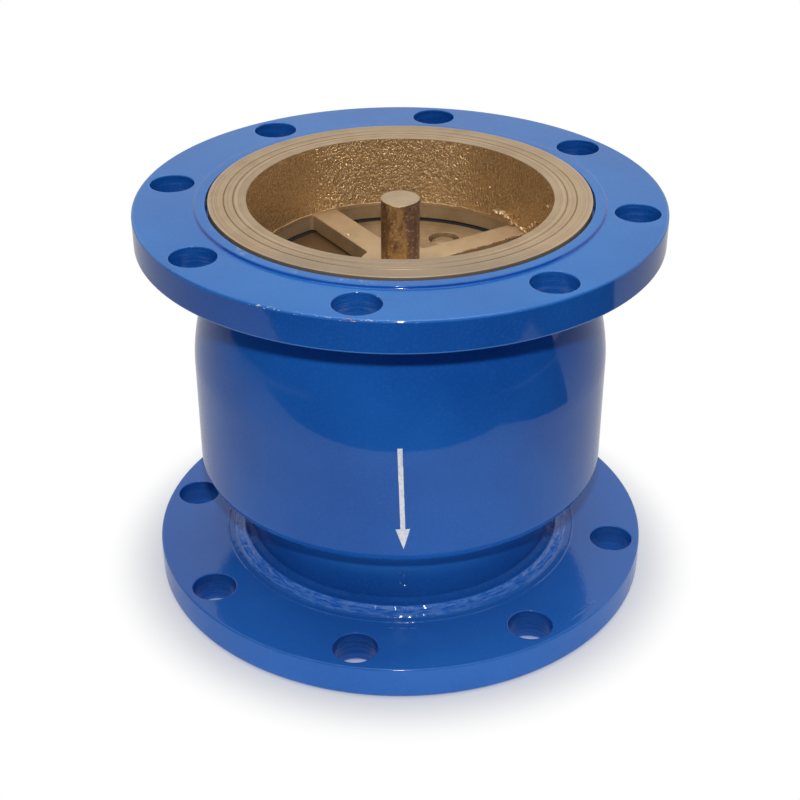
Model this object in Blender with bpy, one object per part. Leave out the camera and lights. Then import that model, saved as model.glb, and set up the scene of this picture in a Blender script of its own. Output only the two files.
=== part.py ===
"""Flanged axial check valve: welded steel body, bronze seat cage, spring-loaded guided disc.

Metres, +Z up. The valve stands on its outlet face, its flow axis is Z and its inlet is on top.
The disc is drawn shut against the seat. It opens by sliding down the axis against the spring.
"""
import math

import bmesh
import bpy
from mathutils import Matrix

# Shared clearances
FIT = 0.0003                    # gap between pieces that touch or slide
CUT_PAST = 0.004                # how far a cutter reaches beyond the face it cuts
MERGE = 0.000001

# Facets round a full turn
BODY_FACETS = 48
DISC_FACETS = 36
SMALL_FACETS = 24
ARC_STEPS = 4

# Swaged barrel. The inlet neck is the size that the seat, the flanges and the disc follow
INLET_NECK_D = 0.184
OUTLET_NECK_D = 0.1683
BARREL_WALL = 0.0063
BARREL_SWELL = 0.0175           # barrel beyond the inlet neck, on each side
KNUCKLE_R = 0.010               # the barrel's lower end turns in on this radius
KNUCKLE_FILLET_R = 0.016
DOME_R = 0.111                  # its upper end closes in slowly on this one
DOME_FILLET_R = 0.010
OUTLET_NECK_L = 0.0275          # straight neck between the outlet flange and the knuckle
INLET_NECK_L = 0.0063           # straight neck between the dome and the inlet flange
WELD_LEG_OUT = 0.0105
WELD_LEG_UP = 0.003

# Bronze seat cage
SEAT_SIDE_GAP = 0.0017          # inlet neck to seat
SEAT_WALL = 0.006
SEAT_RIM_W = 0.0135             # rim beyond the seat's wall
SEAT_RIM_T = 0.006
SEAT_PROUD = 0.001              # rim above the inlet flange's raised face
BOWL_DEPTH = 0.0385
THROAT_STEP = 0.0005            # ledge from the bowl in to the throat
SPIDER_T = 0.0088
SPIDER_ARMS = 4
SPIDER_ARM_W = 0.0155
SPIDER_ANGLE = 33.0
SPIDER_HUB_D = 0.043
GASKET_T = 0.0015

# Flanges
FLANGE_T = 0.017
FLANGE_SPAN = 0.2125            # outer side of one flange plate to outer side of the other
FLANGE_CHAMFER = 0.0012
RAISED_FACE_H = 0.0015
RAISED_FACE_LAND = 0.007        # raised face left outside the seat's rim
BOLT_HOLE_D = 0.023
BOLT_HOLE_LAND = 0.004          # flange left on each side of a bolt hole
BOLT_COUNT = 8
INLET_BOLT_ANGLE = -9.2
OUTLET_BOLT_ANGLE = -11.0
INLET_SOCKET_DEPTH = 0.007      # how deep each neck stands in its flange
OUTLET_SOCKET_DEPTH = 0.0105
OUTLET_LEDGE_W = 0.00535        # ledge in the outlet flange, which the guide stands on

# Disc, its seal and the seal's retainer
DISC_OVERLAP = 0.0060           # disc beyond the throat
DISC_T = 0.0117                 # under the retainer, down to the spring's face
DISC_RIM_W = 0.0025
DISC_RIM_H = 0.004              # rim above the seal groove's floor
DISC_FLOOR_T = 0.007
SEAL_REACH = 0.0115             # seal in from the throat's edge
SEAL_LIP_W = 0.0098             # lip that the retainer clamps
SEAL_T = 0.0086
SEAL_LIP_T = 0.0037
SEAL_PROUD = 0.0019             # seal above the retainer
RETAINER_T = 0.005
SCREW_COUNT = 4
SCREW_EDGE = 0.0115             # screw pocket to the retainer's edge
SCREW_ANGLE = 64.5
SCREW_D = 0.008
SCREW_HEAD_D = 0.014
SCREW_HEAD_H = 0.0027
SCREW_LENGTH = 0.0095
SCREW_POCKET_D = 0.0166
SCREW_HOLE_SPARE = 0.0006

# Stem and its clamp
STEM_D = 0.020
STEM_LENGTH = 0.156
STEM_ABOVE_SPIDER = 0.036
STEM_CHAMFER = 0.0012
STEM_THREAD_D = 0.016
STEM_TAIL_D = 0.015
WASHER_D = 0.030
WASHER_T = 0.003
NUT_ACROSS_FLATS = 0.024
NUT_H = 0.013
LOCK_NUT_H = 0.008
THREAD_RUNOUT = 0.003

# Spring
SPRING_D = 0.060                # to the middle of the wire
SPRING_WIRE_D = 0.005
SPRING_COILS = 7
SPRING_DEAD_COILS = 1           # closed coils at each end
SPRING_DEAD_GAP = 0.0007
SPRING_POINTS = 10              # points in one coil
SPRING_SEAT_D = 0.072
PILOT_GAP = 0.0015              # pilot to the inside of the spring
PILOT_CHAMFER = 0.0012
DISC_PILOT_H = 0.008

# Outlet guide
LIFT = 0.032                    # disc travel until the lock nut lands on the bush
GUIDE_ARMS = 3
GUIDE_ARM_W = 0.014
GUIDE_ANGLE = 90.0
GUIDE_RING_H = 0.015
GUIDE_WEB_T = 0.010
GUIDE_HUB_D = 0.044
GUIDE_HUB_DROP = 0.020          # hub below the spring's shoulder
GUIDE_PILOT_H = 0.026
GUIDE_WINDOW_EDGE = 0.003
BUSH_WALL = 0.003
BUSH_COLLAR_D = 0.034
BUSH_COLLAR_T = 0.003

# Diameters that follow from the inlet neck, outwards to the flange and inwards to the screws
SEAT_BODY_D = INLET_NECK_D - 2 * (BARREL_WALL + SEAT_SIDE_GAP)
SEAT_RIM_D = SEAT_BODY_D + 2 * SEAT_RIM_W
RAISED_FACE_D = SEAT_RIM_D + 2 * RAISED_FACE_LAND
BOLT_CIRCLE_D = RAISED_FACE_D + BOLT_HOLE_D + 2 * BOLT_HOLE_LAND
FLANGE_D = BOLT_CIRCLE_D + BOLT_HOLE_D + 2 * BOLT_HOLE_LAND
BARREL_D = INLET_NECK_D + 2 * BARREL_SWELL
BOWL_D = SEAT_BODY_D - 2 * SEAT_WALL
THROAT_D = BOWL_D - 2 * THROAT_STEP
DISC_D = THROAT_D + 2 * DISC_OVERLAP
SEAL_INNER_D = THROAT_D - 2 * SEAL_REACH
RETAINER_D = SEAL_INNER_D + 2 * SEAL_LIP_W
SCREW_CIRCLE_D = RETAINER_D - SCREW_POCKET_D - 2 * SCREW_EDGE
OUTLET_BORE_D = OUTLET_NECK_D - 2 * (BARREL_WALL + OUTLET_LEDGE_W)

# Levels that follow from the sizes above, from the outlet face up
OUTLET_BACK_Z = RAISED_FACE_H + FLANGE_T
OUTLET_LEDGE_Z = OUTLET_BACK_Z - OUTLET_SOCKET_DEPTH
INLET_FRONT_Z = RAISED_FACE_H + FLANGE_SPAN
INLET_BACK_Z = INLET_FRONT_Z - FLANGE_T
INLET_LEDGE_Z = INLET_BACK_Z + INLET_SOCKET_DEPTH
INLET_FACE_Z = INLET_FRONT_Z + RAISED_FACE_H
SEAT_TOP_Z = INLET_FACE_Z + SEAT_PROUD
SEAT_RIM_Z = SEAT_TOP_Z - SEAT_RIM_T
GASKET_FLOOR_Z = SEAT_RIM_Z - GASKET_T - 2 * FIT
SPIDER_TOP_Z = SEAT_TOP_Z - BOWL_DEPTH
SEAT_BOTTOM_Z = SPIDER_TOP_Z - SPIDER_T
SEAL_TOP_Z = SEAT_BOTTOM_Z - FIT
SEAL_BOTTOM_Z = SEAL_TOP_Z - SEAL_T
SEAL_LIP_Z = SEAL_BOTTOM_Z + SEAL_LIP_T
GROOVE_Z = SEAL_BOTTOM_Z - FIT
RETAINER_TOP_Z = SEAL_TOP_Z - SEAL_PROUD
RETAINER_BOTTOM_Z = RETAINER_TOP_Z - RETAINER_T
DISC_TOP_Z = RETAINER_BOTTOM_Z - FIT
DISC_SPRING_Z = DISC_TOP_Z - DISC_T
DISC_HUB_Z = DISC_SPRING_Z - DISC_PILOT_H
WASHER_Z = DISC_HUB_Z - FIT - WASHER_T
NUT_Z = WASHER_Z - FIT - NUT_H
LOCK_NUT_Z = NUT_Z - FIT - LOCK_NUT_H
BUSH_TOP_Z = LOCK_NUT_Z - FIT - LIFT
GUIDE_TOP_Z = BUSH_TOP_Z - BUSH_COLLAR_T - FIT
GUIDE_SHOULDER_Z = GUIDE_TOP_Z - GUIDE_PILOT_H
GUIDE_HUB_Z = GUIDE_SHOULDER_Z - GUIDE_HUB_DROP
STEM_TOP_Z = SPIDER_TOP_Z + STEM_ABOVE_SPIDER

# Radii that fit one another
SEAT_BODY_R = SEAT_BODY_D / 2
STEM_R = STEM_D / 2
THREAD_BORE_R = STEM_THREAD_D / 2 + FIT
TAIL_BORE_R = STEM_TAIL_D / 2 + FIT
BUSH_R = TAIL_BORE_R + BUSH_WALL
PILOT_R = (SPRING_D - SPRING_WIRE_D) / 2 - PILOT_GAP
SEAL_OUTER_R = DISC_D / 2 - DISC_RIM_W - FIT
BOSS_R = SEAL_INNER_D / 2 - FIT


def clear_scene():
    for item in list(bpy.data.objects):
        bpy.data.objects.remove(item, do_unlink=True)


def linear(channel):
    """Turn one 8-bit display value into the linear value that a shader takes."""
    value = channel / 255
    return value / 12.92 if value <= 0.04045 else ((value + 0.055) / 1.055) ** 2.4


def finish(name, colour, roughness, metallic):
    material = bpy.data.materials.new(name)
    material.use_nodes = True
    shader = material.node_tree.nodes["Principled BSDF"]
    shader.inputs["Base Color"].default_value = [linear(c) for c in colour] + [1.0]
    shader.inputs["Roughness"].default_value = roughness
    shader.inputs["Metallic"].default_value = metallic
    return material


def group(name):
    """An empty on the flow axis that carries the pieces of one body."""
    empty = bpy.data.objects.new(name, None)
    bpy.context.collection.objects.link(empty)
    return empty


def to_object(name, bm, parent=None, material=None):
    mesh = bpy.data.meshes.new(name)
    bm.to_mesh(mesh)
    bm.free()
    item = bpy.data.objects.new(name, mesh)
    bpy.context.collection.objects.link(item)
    item.parent = parent
    if material:
        mesh.materials.append(material)
        mesh.shade_smooth()
        mesh.set_sharp_from_angle(angle=math.radians(35))
    return item


def arc(centre, radius, start, end, steps=ARC_STEPS):
    """Points on an arc of a half section, from one angle to another in degrees."""
    angles = [math.radians(start + (end - start) * i / steps) for i in range(steps + 1)]
    return [(centre[0] + radius * math.cos(a), centre[1] + radius * math.sin(a)) for a in angles]


def revolve(profile, facets):
    """Spin a half section of (radius, height) points round Z into one closed body."""
    bm = bmesh.new()
    ring = [bm.verts.new((radius, 0.0, height)) for radius, height in profile]
    edges = [bm.edges.new(pair) for pair in zip(ring, ring[1:])]
    if min(radius for radius, _ in profile) > 0.0:
        edges.append(bm.edges.new((ring[-1], ring[0])))
    bmesh.ops.spin(bm, geom=ring + edges, axis=(0, 0, 1), angle=math.tau, steps=facets, use_merge=True)
    bmesh.ops.remove_doubles(bm, verts=bm.verts, dist=MERGE)
    bmesh.ops.recalc_face_normals(bm, faces=bm.faces)
    return bm


def turned(name, profile, parent, material, facets=BODY_FACETS):
    return to_object(name, revolve(profile, facets), parent, material)


def polar(radius, degrees):
    return radius * math.cos(math.radians(degrees)), radius * math.sin(math.radians(degrees))


def add_pegs(bm, count, circle_r, first_angle, radius, low, high):
    """Add a ring of upright round pegs to a cutter."""
    for i in range(count):
        x, y = polar(circle_r, first_angle + 360 / count * i)
        place = Matrix.Translation((x, y, (low + high) / 2))
        bmesh.ops.create_cone(bm, cap_ends=True, segments=SMALL_FACETS, radius1=radius, radius2=radius,
                              depth=high - low, matrix=place)


def add_windows(bm, arms, first_angle, arm_w, inner_r, outer_r, low, high):
    """Add the upright prisms that lie between the arms of a spider to a cutter."""
    steps = BODY_FACETS // arms
    half_turn = 180 / arms
    inner_half = half_turn - math.degrees(math.asin(arm_w / 2 / inner_r))
    outer_half = half_turn - math.degrees(math.asin(arm_w / 2 / outer_r))
    for i in range(arms):
        middle = first_angle + half_turn * (2 * i + 1)
        outline = arc((0, 0), outer_r, middle - outer_half, middle + outer_half, steps)
        outline += arc((0, 0), inner_r, middle + inner_half, middle - inner_half, steps // 2)
        face = bm.faces.new([bm.verts.new((x, y, low)) for x, y in outline])
        grown = bmesh.ops.extrude_face_region(bm, geom=[face])["geom"]
        top = [v for v in grown if isinstance(v, bmesh.types.BMVert)]
        bmesh.ops.translate(bm, verts=top, vec=(0, 0, high - low))
    bmesh.ops.recalc_face_normals(bm, faces=bm.faces)


def cut(item, bm, name):
    """Take a cutter's shape out of an object."""
    cutter = to_object(name, bm)
    cutter.hide_render = True
    cutter.display_type = "WIRE"
    modifier = item.modifiers.new(name, "BOOLEAN")
    modifier.operation = "DIFFERENCE"
    modifier.solver = "EXACT"
    modifier.object = cutter


def drill_bolt_holes(item, first_angle, low, high):
    bm = bmesh.new()
    add_pegs(bm, BOLT_COUNT, BOLT_CIRCLE_D / 2, first_angle, BOLT_HOLE_D / 2,
             low - CUT_PAST, high + CUT_PAST)
    cut(item, bm, item.name + "_drill")


def outlet_flange(parent, material):
    rim = FLANGE_D / 2
    neck_socket = OUTLET_NECK_D / 2 + FIT
    profile = [
        (OUTLET_BORE_D / 2, 0.0),
        (RAISED_FACE_D / 2, 0.0),
        (RAISED_FACE_D / 2, RAISED_FACE_H),
        (rim - FLANGE_CHAMFER, RAISED_FACE_H),
        (rim, RAISED_FACE_H + FLANGE_CHAMFER),
        (rim, OUTLET_BACK_Z - FLANGE_CHAMFER),
        (rim - FLANGE_CHAMFER, OUTLET_BACK_Z),
        (neck_socket, OUTLET_BACK_Z),
        (neck_socket, OUTLET_LEDGE_Z),
        (OUTLET_BORE_D / 2, OUTLET_LEDGE_Z),
    ]
    item = turned("outlet_flange", profile, parent, material)
    drill_bolt_holes(item, OUTLET_BOLT_ANGLE, 0.0, OUTLET_BACK_Z)


def inlet_flange(parent, material):
    rim = FLANGE_D / 2
    recess = SEAT_RIM_D / 2 + FIT
    seat_bore = SEAT_BODY_R + FIT
    neck_socket = INLET_NECK_D / 2 + FIT
    profile = [
        (neck_socket, INLET_BACK_Z),
        (rim - FLANGE_CHAMFER, INLET_BACK_Z),
        (rim, INLET_BACK_Z + FLANGE_CHAMFER),
        (rim, INLET_FRONT_Z - FLANGE_CHAMFER),
        (rim - FLANGE_CHAMFER, INLET_FRONT_Z),
        (RAISED_FACE_D / 2, INLET_FRONT_Z),
        (RAISED_FACE_D / 2, INLET_FACE_Z),
        (recess, INLET_FACE_Z),
        (recess, GASKET_FLOOR_Z),
        (seat_bore, GASKET_FLOOR_Z),
        (seat_bore, INLET_LEDGE_Z),
        (neck_socket, INLET_LEDGE_Z),
    ]
    item = turned("inlet_flange", profile, parent, material)
    drill_bolt_holes(item, INLET_BOLT_ANGLE, INLET_BACK_Z, INLET_FACE_Z)


def shoulder(neck_r, fillet_r, round_r, neck_end_z, side, inset):
    """One shoulder's section from neck to barrel. side is -1 below and 1 above the barrel.

    A concave fillet leaves the neck's end and runs into the barrel's convex rounding. The inner
    skin is the same pair of arcs, set in by the wall.
    """
    fillet = (neck_r + fillet_r, neck_end_z)
    reach = round_r + fillet_r
    across = fillet[0] - BARREL_D / 2 + round_r
    along = math.sqrt(reach ** 2 - across ** 2)
    rounding = (BARREL_D / 2 - round_r, neck_end_z - side * along)
    lean = math.degrees(math.atan2(along, across))
    neck_arc = arc(fillet, fillet_r + inset, 180, 180 + side * lean)
    barrel_arc = arc(rounding, round_r - inset, side * lean, 0)
    return neck_arc + barrel_arc[1:]


def barrel_shell(parent, material):
    low_z = OUTLET_LEDGE_Z + FIT
    high_z = INLET_LEDGE_Z - FIT
    knuckle_z = OUTLET_BACK_Z + OUTLET_NECK_L
    dome_z = INLET_BACK_Z - INLET_NECK_L
    skins = []
    for inset in (0.0, BARREL_WALL):
        skin = [(OUTLET_NECK_D / 2 - inset, low_z)]
        skin += shoulder(OUTLET_NECK_D / 2, KNUCKLE_FILLET_R, KNUCKLE_R, knuckle_z, -1, inset)
        skin += shoulder(INLET_NECK_D / 2, DOME_FILLET_R, DOME_R, dome_z, 1, inset)[::-1]
        skin.append((INLET_NECK_D / 2 - inset, high_z))
        skins.append(skin)
    turned("barrel_shell", skins[0] + skins[1][::-1], parent, material)


def weld_bead(name, neck_d, flange_z, side, parent, material):
    """A convex fillet weld in the corner of a neck and the back of its flange."""
    corner = (neck_d / 2 + FIT, flange_z + side * FIT)
    crown = arc((0, 0), 1, 0, 90)
    profile = [corner]
    profile += [(corner[0] + WELD_LEG_OUT * x, corner[1] + side * WELD_LEG_UP * y) for x, y in crown]
    turned(name, profile, parent, material)


def seat(parent, material):
    rim = SEAT_RIM_D / 2
    profile = [
        (STEM_R + FIT, SEAT_BOTTOM_Z),
        (SEAT_BODY_R, SEAT_BOTTOM_Z),
        (SEAT_BODY_R, SEAT_RIM_Z),
        (rim, SEAT_RIM_Z),
        (rim, SEAT_TOP_Z),
        (BOWL_D / 2, SEAT_TOP_Z),
        (BOWL_D / 2, SPIDER_TOP_Z),
        (STEM_R + FIT, SPIDER_TOP_Z),
    ]
    item = turned("seat", profile, parent, material)
    bm = bmesh.new()
    add_windows(bm, SPIDER_ARMS, SPIDER_ANGLE, SPIDER_ARM_W, SPIDER_HUB_D / 2, THROAT_D / 2,
                SEAT_BOTTOM_Z - CUT_PAST, SPIDER_TOP_Z + CUT_PAST)
    cut(item, bm, "seat_windows")


def seat_gasket(parent, material):
    low = GASKET_FLOOR_Z + FIT
    profile = [
        (SEAT_BODY_R + FIT, low),
        (SEAT_RIM_D / 2, low),
        (SEAT_RIM_D / 2, low + GASKET_T),
        (SEAT_BODY_R + FIT, low + GASKET_T),
    ]
    turned("seat_gasket", profile, parent, material)


def guide_spider(parent, material):
    """Outlet guide: a ring on the flange's ledge, sloping arms and a hub that carries the spring."""
    ring_r = OUTLET_NECK_D / 2 - BARREL_WALL - FIT
    ring_z = OUTLET_LEDGE_Z + FIT
    hub_r = GUIDE_HUB_D / 2
    bore_r = BUSH_R + FIT
    profile = [
        (OUTLET_BORE_D / 2, ring_z),
        (ring_r, ring_z),
        (ring_r, ring_z + GUIDE_RING_H),
        (SPRING_SEAT_D / 2, GUIDE_SHOULDER_Z - GUIDE_WEB_T / 2),
        (SPRING_SEAT_D / 2, GUIDE_SHOULDER_Z),
        (PILOT_R, GUIDE_SHOULDER_Z),
        (PILOT_R, GUIDE_TOP_Z),
        (bore_r, GUIDE_TOP_Z),
        (bore_r, GUIDE_HUB_Z),
        (hub_r, GUIDE_HUB_Z),
        (OUTLET_BORE_D / 2, ring_z + GUIDE_RING_H - GUIDE_WEB_T),
    ]
    item = turned("guide_spider", profile, parent, material, DISC_FACETS)
    bm = bmesh.new()
    add_windows(bm, GUIDE_ARMS, GUIDE_ANGLE, GUIDE_ARM_W, SPRING_SEAT_D / 2 + GUIDE_WINDOW_EDGE,
                OUTLET_BORE_D / 2 - GUIDE_WINDOW_EDGE, ring_z - CUT_PAST, GUIDE_SHOULDER_Z + CUT_PAST)
    cut(item, bm, "guide_windows")


def guide_bush(parent, material):
    """Collared bush. Its mouth is relieved for the end of the stem's thread at full lift."""
    relief_z = BUSH_TOP_Z - THREAD_RUNOUT - FIT
    profile = [
        (TAIL_BORE_R, GUIDE_HUB_Z),
        (BUSH_R, GUIDE_HUB_Z),
        (BUSH_R, BUSH_TOP_Z - BUSH_COLLAR_T),
        (BUSH_COLLAR_D / 2, BUSH_TOP_Z - BUSH_COLLAR_T),
        (BUSH_COLLAR_D / 2, BUSH_TOP_Z),
        (THREAD_BORE_R, BUSH_TOP_Z),
        (THREAD_BORE_R, relief_z),
        (TAIL_BORE_R, relief_z),
    ]
    turned("guide_bush", profile, parent, material, SMALL_FACETS)


def spring_path():
    """Points along the wire: closed coils at both ends and an even pitch between them."""
    low = GUIDE_SHOULDER_Z + FIT + SPRING_WIRE_D / 2
    high = DISC_SPRING_Z - FIT - SPRING_WIRE_D / 2
    dead_rise = SPRING_DEAD_COILS * (SPRING_WIRE_D + SPRING_DEAD_GAP)
    live_coils = SPRING_COILS - 2 * SPRING_DEAD_COILS
    path = []
    for i in range(SPRING_COILS * SPRING_POINTS + 1):
        coil = i / SPRING_POINTS
        if coil < SPRING_DEAD_COILS:
            height = low + dead_rise * coil / SPRING_DEAD_COILS
        elif coil > SPRING_COILS - SPRING_DEAD_COILS:
            height = high - dead_rise * (SPRING_COILS - coil) / SPRING_DEAD_COILS
        else:
            share = (coil - SPRING_DEAD_COILS) / live_coils
            height = low + dead_rise + share * (high - low - 2 * dead_rise)
        path.append(polar(SPRING_D / 2, 360 * coil) + (height,))
    return path


def least_gap(path):
    """Clear space between the wire and any other coil of the same wire."""
    apart = SPRING_POINTS // 2
    pairs = ((a, b) for i, a in enumerate(path) for b in path[i + apart:])
    return min(math.dist(a, b) for a, b in pairs) - SPRING_WIRE_D


def spring(parent, material):
    path = spring_path()
    curve = bpy.data.curves.new("spring", "CURVE")
    curve.dimensions = "3D"
    curve.bevel_depth = SPRING_WIRE_D / 2
    curve.bevel_resolution = 1
    curve.use_fill_caps = True
    line = curve.splines.new("POLY")
    line.points.add(len(path) - 1)
    for point, place in zip(line.points, path):
        point.co = place + (1.0,)
    line.use_smooth = True
    curve.materials.append(material)
    item = bpy.data.objects.new("spring", curve)
    bpy.context.collection.objects.link(item)
    item.parent = parent
    print(f"spring: least gap between coils {least_gap(path) * 1000:.2f} mm")


def stem(parent, material):
    """One bar in three sizes: inlet journal, clamp thread and outlet journal."""
    foot_z = STEM_TOP_Z - STEM_LENGTH
    tail_z = LOCK_NUT_Z - THREAD_RUNOUT
    step_z = DISC_TOP_Z + FIT
    profile = [
        (0.0, foot_z),
        (STEM_TAIL_D / 2 - STEM_CHAMFER, foot_z),
        (STEM_TAIL_D / 2, foot_z + STEM_CHAMFER),
        (STEM_TAIL_D / 2, tail_z),
        (STEM_THREAD_D / 2, tail_z),
        (STEM_THREAD_D / 2, step_z),
        (STEM_R, step_z),
        (STEM_R, STEM_TOP_Z - STEM_CHAMFER),
        (STEM_R - STEM_CHAMFER, STEM_TOP_Z),
        (0.0, STEM_TOP_Z),
    ]
    turned("stem", profile, parent, material, SMALL_FACETS)


def disc(parent, material):
    rim = DISC_D / 2
    rim_z = GROOVE_Z - DISC_FLOOR_T
    hub_r = PILOT_R
    profile = [
        (THREAD_BORE_R, DISC_HUB_Z),
        (hub_r - PILOT_CHAMFER, DISC_HUB_Z),
        (hub_r, DISC_HUB_Z + PILOT_CHAMFER),
        (hub_r, DISC_SPRING_Z),
        (SPRING_SEAT_D / 2, DISC_SPRING_Z),
        (rim - DISC_RIM_W, rim_z),
        (rim, rim_z + DISC_RIM_W),
        (rim, GROOVE_Z + DISC_RIM_H),
        (rim - DISC_RIM_W, GROOVE_Z + DISC_RIM_H),
        (rim - DISC_RIM_W, GROOVE_Z),
        (BOSS_R, GROOVE_Z),
        (BOSS_R, DISC_TOP_Z),
        (THREAD_BORE_R, DISC_TOP_Z),
    ]
    item = turned("disc", profile, parent, material, DISC_FACETS)
    bm = bmesh.new()
    tap_z = RETAINER_TOP_Z - FIT - SCREW_HEAD_H - SCREW_LENGTH - SCREW_HOLE_SPARE
    add_pegs(bm, SCREW_COUNT, SCREW_CIRCLE_D / 2, SCREW_ANGLE, SCREW_D / 2 + FIT,
             tap_z, DISC_TOP_Z + CUT_PAST)
    cut(item, bm, "disc_taps")


def disc_seal(parent, material):
    step_r = RETAINER_D / 2 + FIT
    profile = [
        (SEAL_INNER_D / 2, SEAL_BOTTOM_Z),
        (SEAL_OUTER_R, SEAL_BOTTOM_Z),
        (SEAL_OUTER_R, SEAL_TOP_Z),
        (step_r, SEAL_TOP_Z),
        (step_r, SEAL_LIP_Z),
        (SEAL_INNER_D / 2, SEAL_LIP_Z),
    ]
    turned("disc_seal", profile, parent, material, DISC_FACETS)


def seal_retainer(parent, material):
    bore_r = STEM_R + FIT
    lip_z = SEAL_LIP_Z + FIT
    profile = [
        (bore_r, RETAINER_BOTTOM_Z),
        (BOSS_R, RETAINER_BOTTOM_Z),
        (BOSS_R, lip_z),
        (RETAINER_D / 2, lip_z),
        (RETAINER_D / 2, RETAINER_TOP_Z),
        (bore_r, RETAINER_TOP_Z),
    ]
    item = turned("seal_retainer", profile, parent, material, DISC_FACETS)
    bm = bmesh.new()
    pocket_z = RETAINER_TOP_Z - SCREW_HEAD_H - 2 * FIT
    add_pegs(bm, SCREW_COUNT, SCREW_CIRCLE_D / 2, SCREW_ANGLE, SCREW_POCKET_D / 2,
             pocket_z, RETAINER_TOP_Z + CUT_PAST)
    cut(item, bm, "retainer_pockets")
    bm = bmesh.new()
    add_pegs(bm, SCREW_COUNT, SCREW_CIRCLE_D / 2, SCREW_ANGLE, SCREW_D / 2 + FIT,
             RETAINER_BOTTOM_Z - CUT_PAST, RETAINER_TOP_Z + CUT_PAST)
    cut(item, bm, "retainer_holes")


def retainer_screws(parent, material):
    """One cheese-head screw, its seat at local zero, shared by every place on the circle."""
    profile = [
        (0.0, -SCREW_LENGTH),
        (SCREW_D / 2, -SCREW_LENGTH),
        (SCREW_D / 2, 0.0),
        (SCREW_HEAD_D / 2, 0.0),
        (SCREW_HEAD_D / 2, SCREW_HEAD_H),
        (0.0, SCREW_HEAD_H),
    ]
    first = turned("retainer_screw_1", profile, parent, material, SMALL_FACETS)
    for i in range(SCREW_COUNT):
        item = first if i == 0 else bpy.data.objects.new(f"retainer_screw_{i + 1}", first.data)
        if i > 0:
            bpy.context.collection.objects.link(item)
            item.parent = parent
        angle = SCREW_ANGLE + 360 / SCREW_COUNT * i
        x, y = polar(SCREW_CIRCLE_D / 2, angle)
        item.location = (x, y, RETAINER_TOP_Z - FIT - SCREW_HEAD_H)
        item.rotation_euler.z = math.radians(angle)


def disc_washer(parent, material):
    profile = [
        (THREAD_BORE_R, WASHER_Z),
        (WASHER_D / 2, WASHER_Z),
        (WASHER_D / 2, WASHER_Z + WASHER_T),
        (THREAD_BORE_R, WASHER_Z + WASHER_T),
    ]
    turned("disc_washer", profile, parent, material, SMALL_FACETS)


def hex_nut(name, low, height, parent, material):
    bm = bmesh.new()
    corner_r = NUT_ACROSS_FLATS / math.sqrt(3)
    place = Matrix.Translation((0, 0, low + height / 2))
    bmesh.ops.create_cone(bm, cap_ends=True, segments=6, radius1=corner_r, radius2=corner_r,
                          depth=height, matrix=place)
    item = to_object(name, bm, parent, material)
    bm = revolve([(0.0, low - CUT_PAST), (THREAD_BORE_R, low - CUT_PAST),
                  (THREAD_BORE_R, low + height + CUT_PAST), (0.0, low + height + CUT_PAST)], SMALL_FACETS)
    cut(item, bm, name + "_bore")


def build():
    clear_scene()
    enamel = finish("blue_enamel", (30, 84, 165), 0.22, 0.0)
    bead = finish("enamelled_weld", (26, 76, 152), 0.28, 0.0)
    bronze = finish("cast_bronze", (168, 140, 104), 0.45, 1.0)
    bronze_bar = finish("bronze_bar", (126, 96, 66), 0.42, 1.0)
    rubber = finish("black_rubber", (24, 24, 25), 0.7, 0.0)
    fibre = finish("gasket_fibre", (92, 96, 98), 0.8, 0.0)
    iron = finish("coated_iron", (70, 74, 80), 0.55, 0.6)
    steel = finish("stainless_steel", (172, 172, 170), 0.3, 1.0)

    housing = group("housing")
    outlet_flange(housing, enamel)
    inlet_flange(housing, enamel)
    barrel_shell(housing, enamel)
    weld_bead("outlet_weld_bead", OUTLET_NECK_D, OUTLET_BACK_Z, 1, housing, bead)
    weld_bead("inlet_weld_bead", INLET_NECK_D, INLET_BACK_Z, -1, housing, bead)
    seat(housing, bronze)
    seat_gasket(housing, fibre)
    guide_spider(housing, iron)
    guide_bush(housing, bronze_bar)
    spring(housing, steel)

    lifter = group("disc_assembly")
    stem(lifter, bronze_bar)
    disc(lifter, bronze)
    disc_seal(lifter, rubber)
    seal_retainer(lifter, bronze)
    retainer_screws(lifter, bronze)
    disc_washer(lifter, steel)
    hex_nut("stem_nut", NUT_Z, NUT_H, lifter, steel)
    hex_nut("lock_nut", LOCK_NUT_Z, LOCK_NUT_H, lifter, steel)


build()
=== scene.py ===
# %% [markdown]
# # A flanged axial check valve
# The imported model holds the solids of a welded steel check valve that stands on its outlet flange. This
# lesson dresses it: the solids stay where they are, and finer pieces with real finishes stand for them.

# %% Load the solids
import math

import bmesh
import bpy
from mathutils import Matrix, Vector, noise


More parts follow.
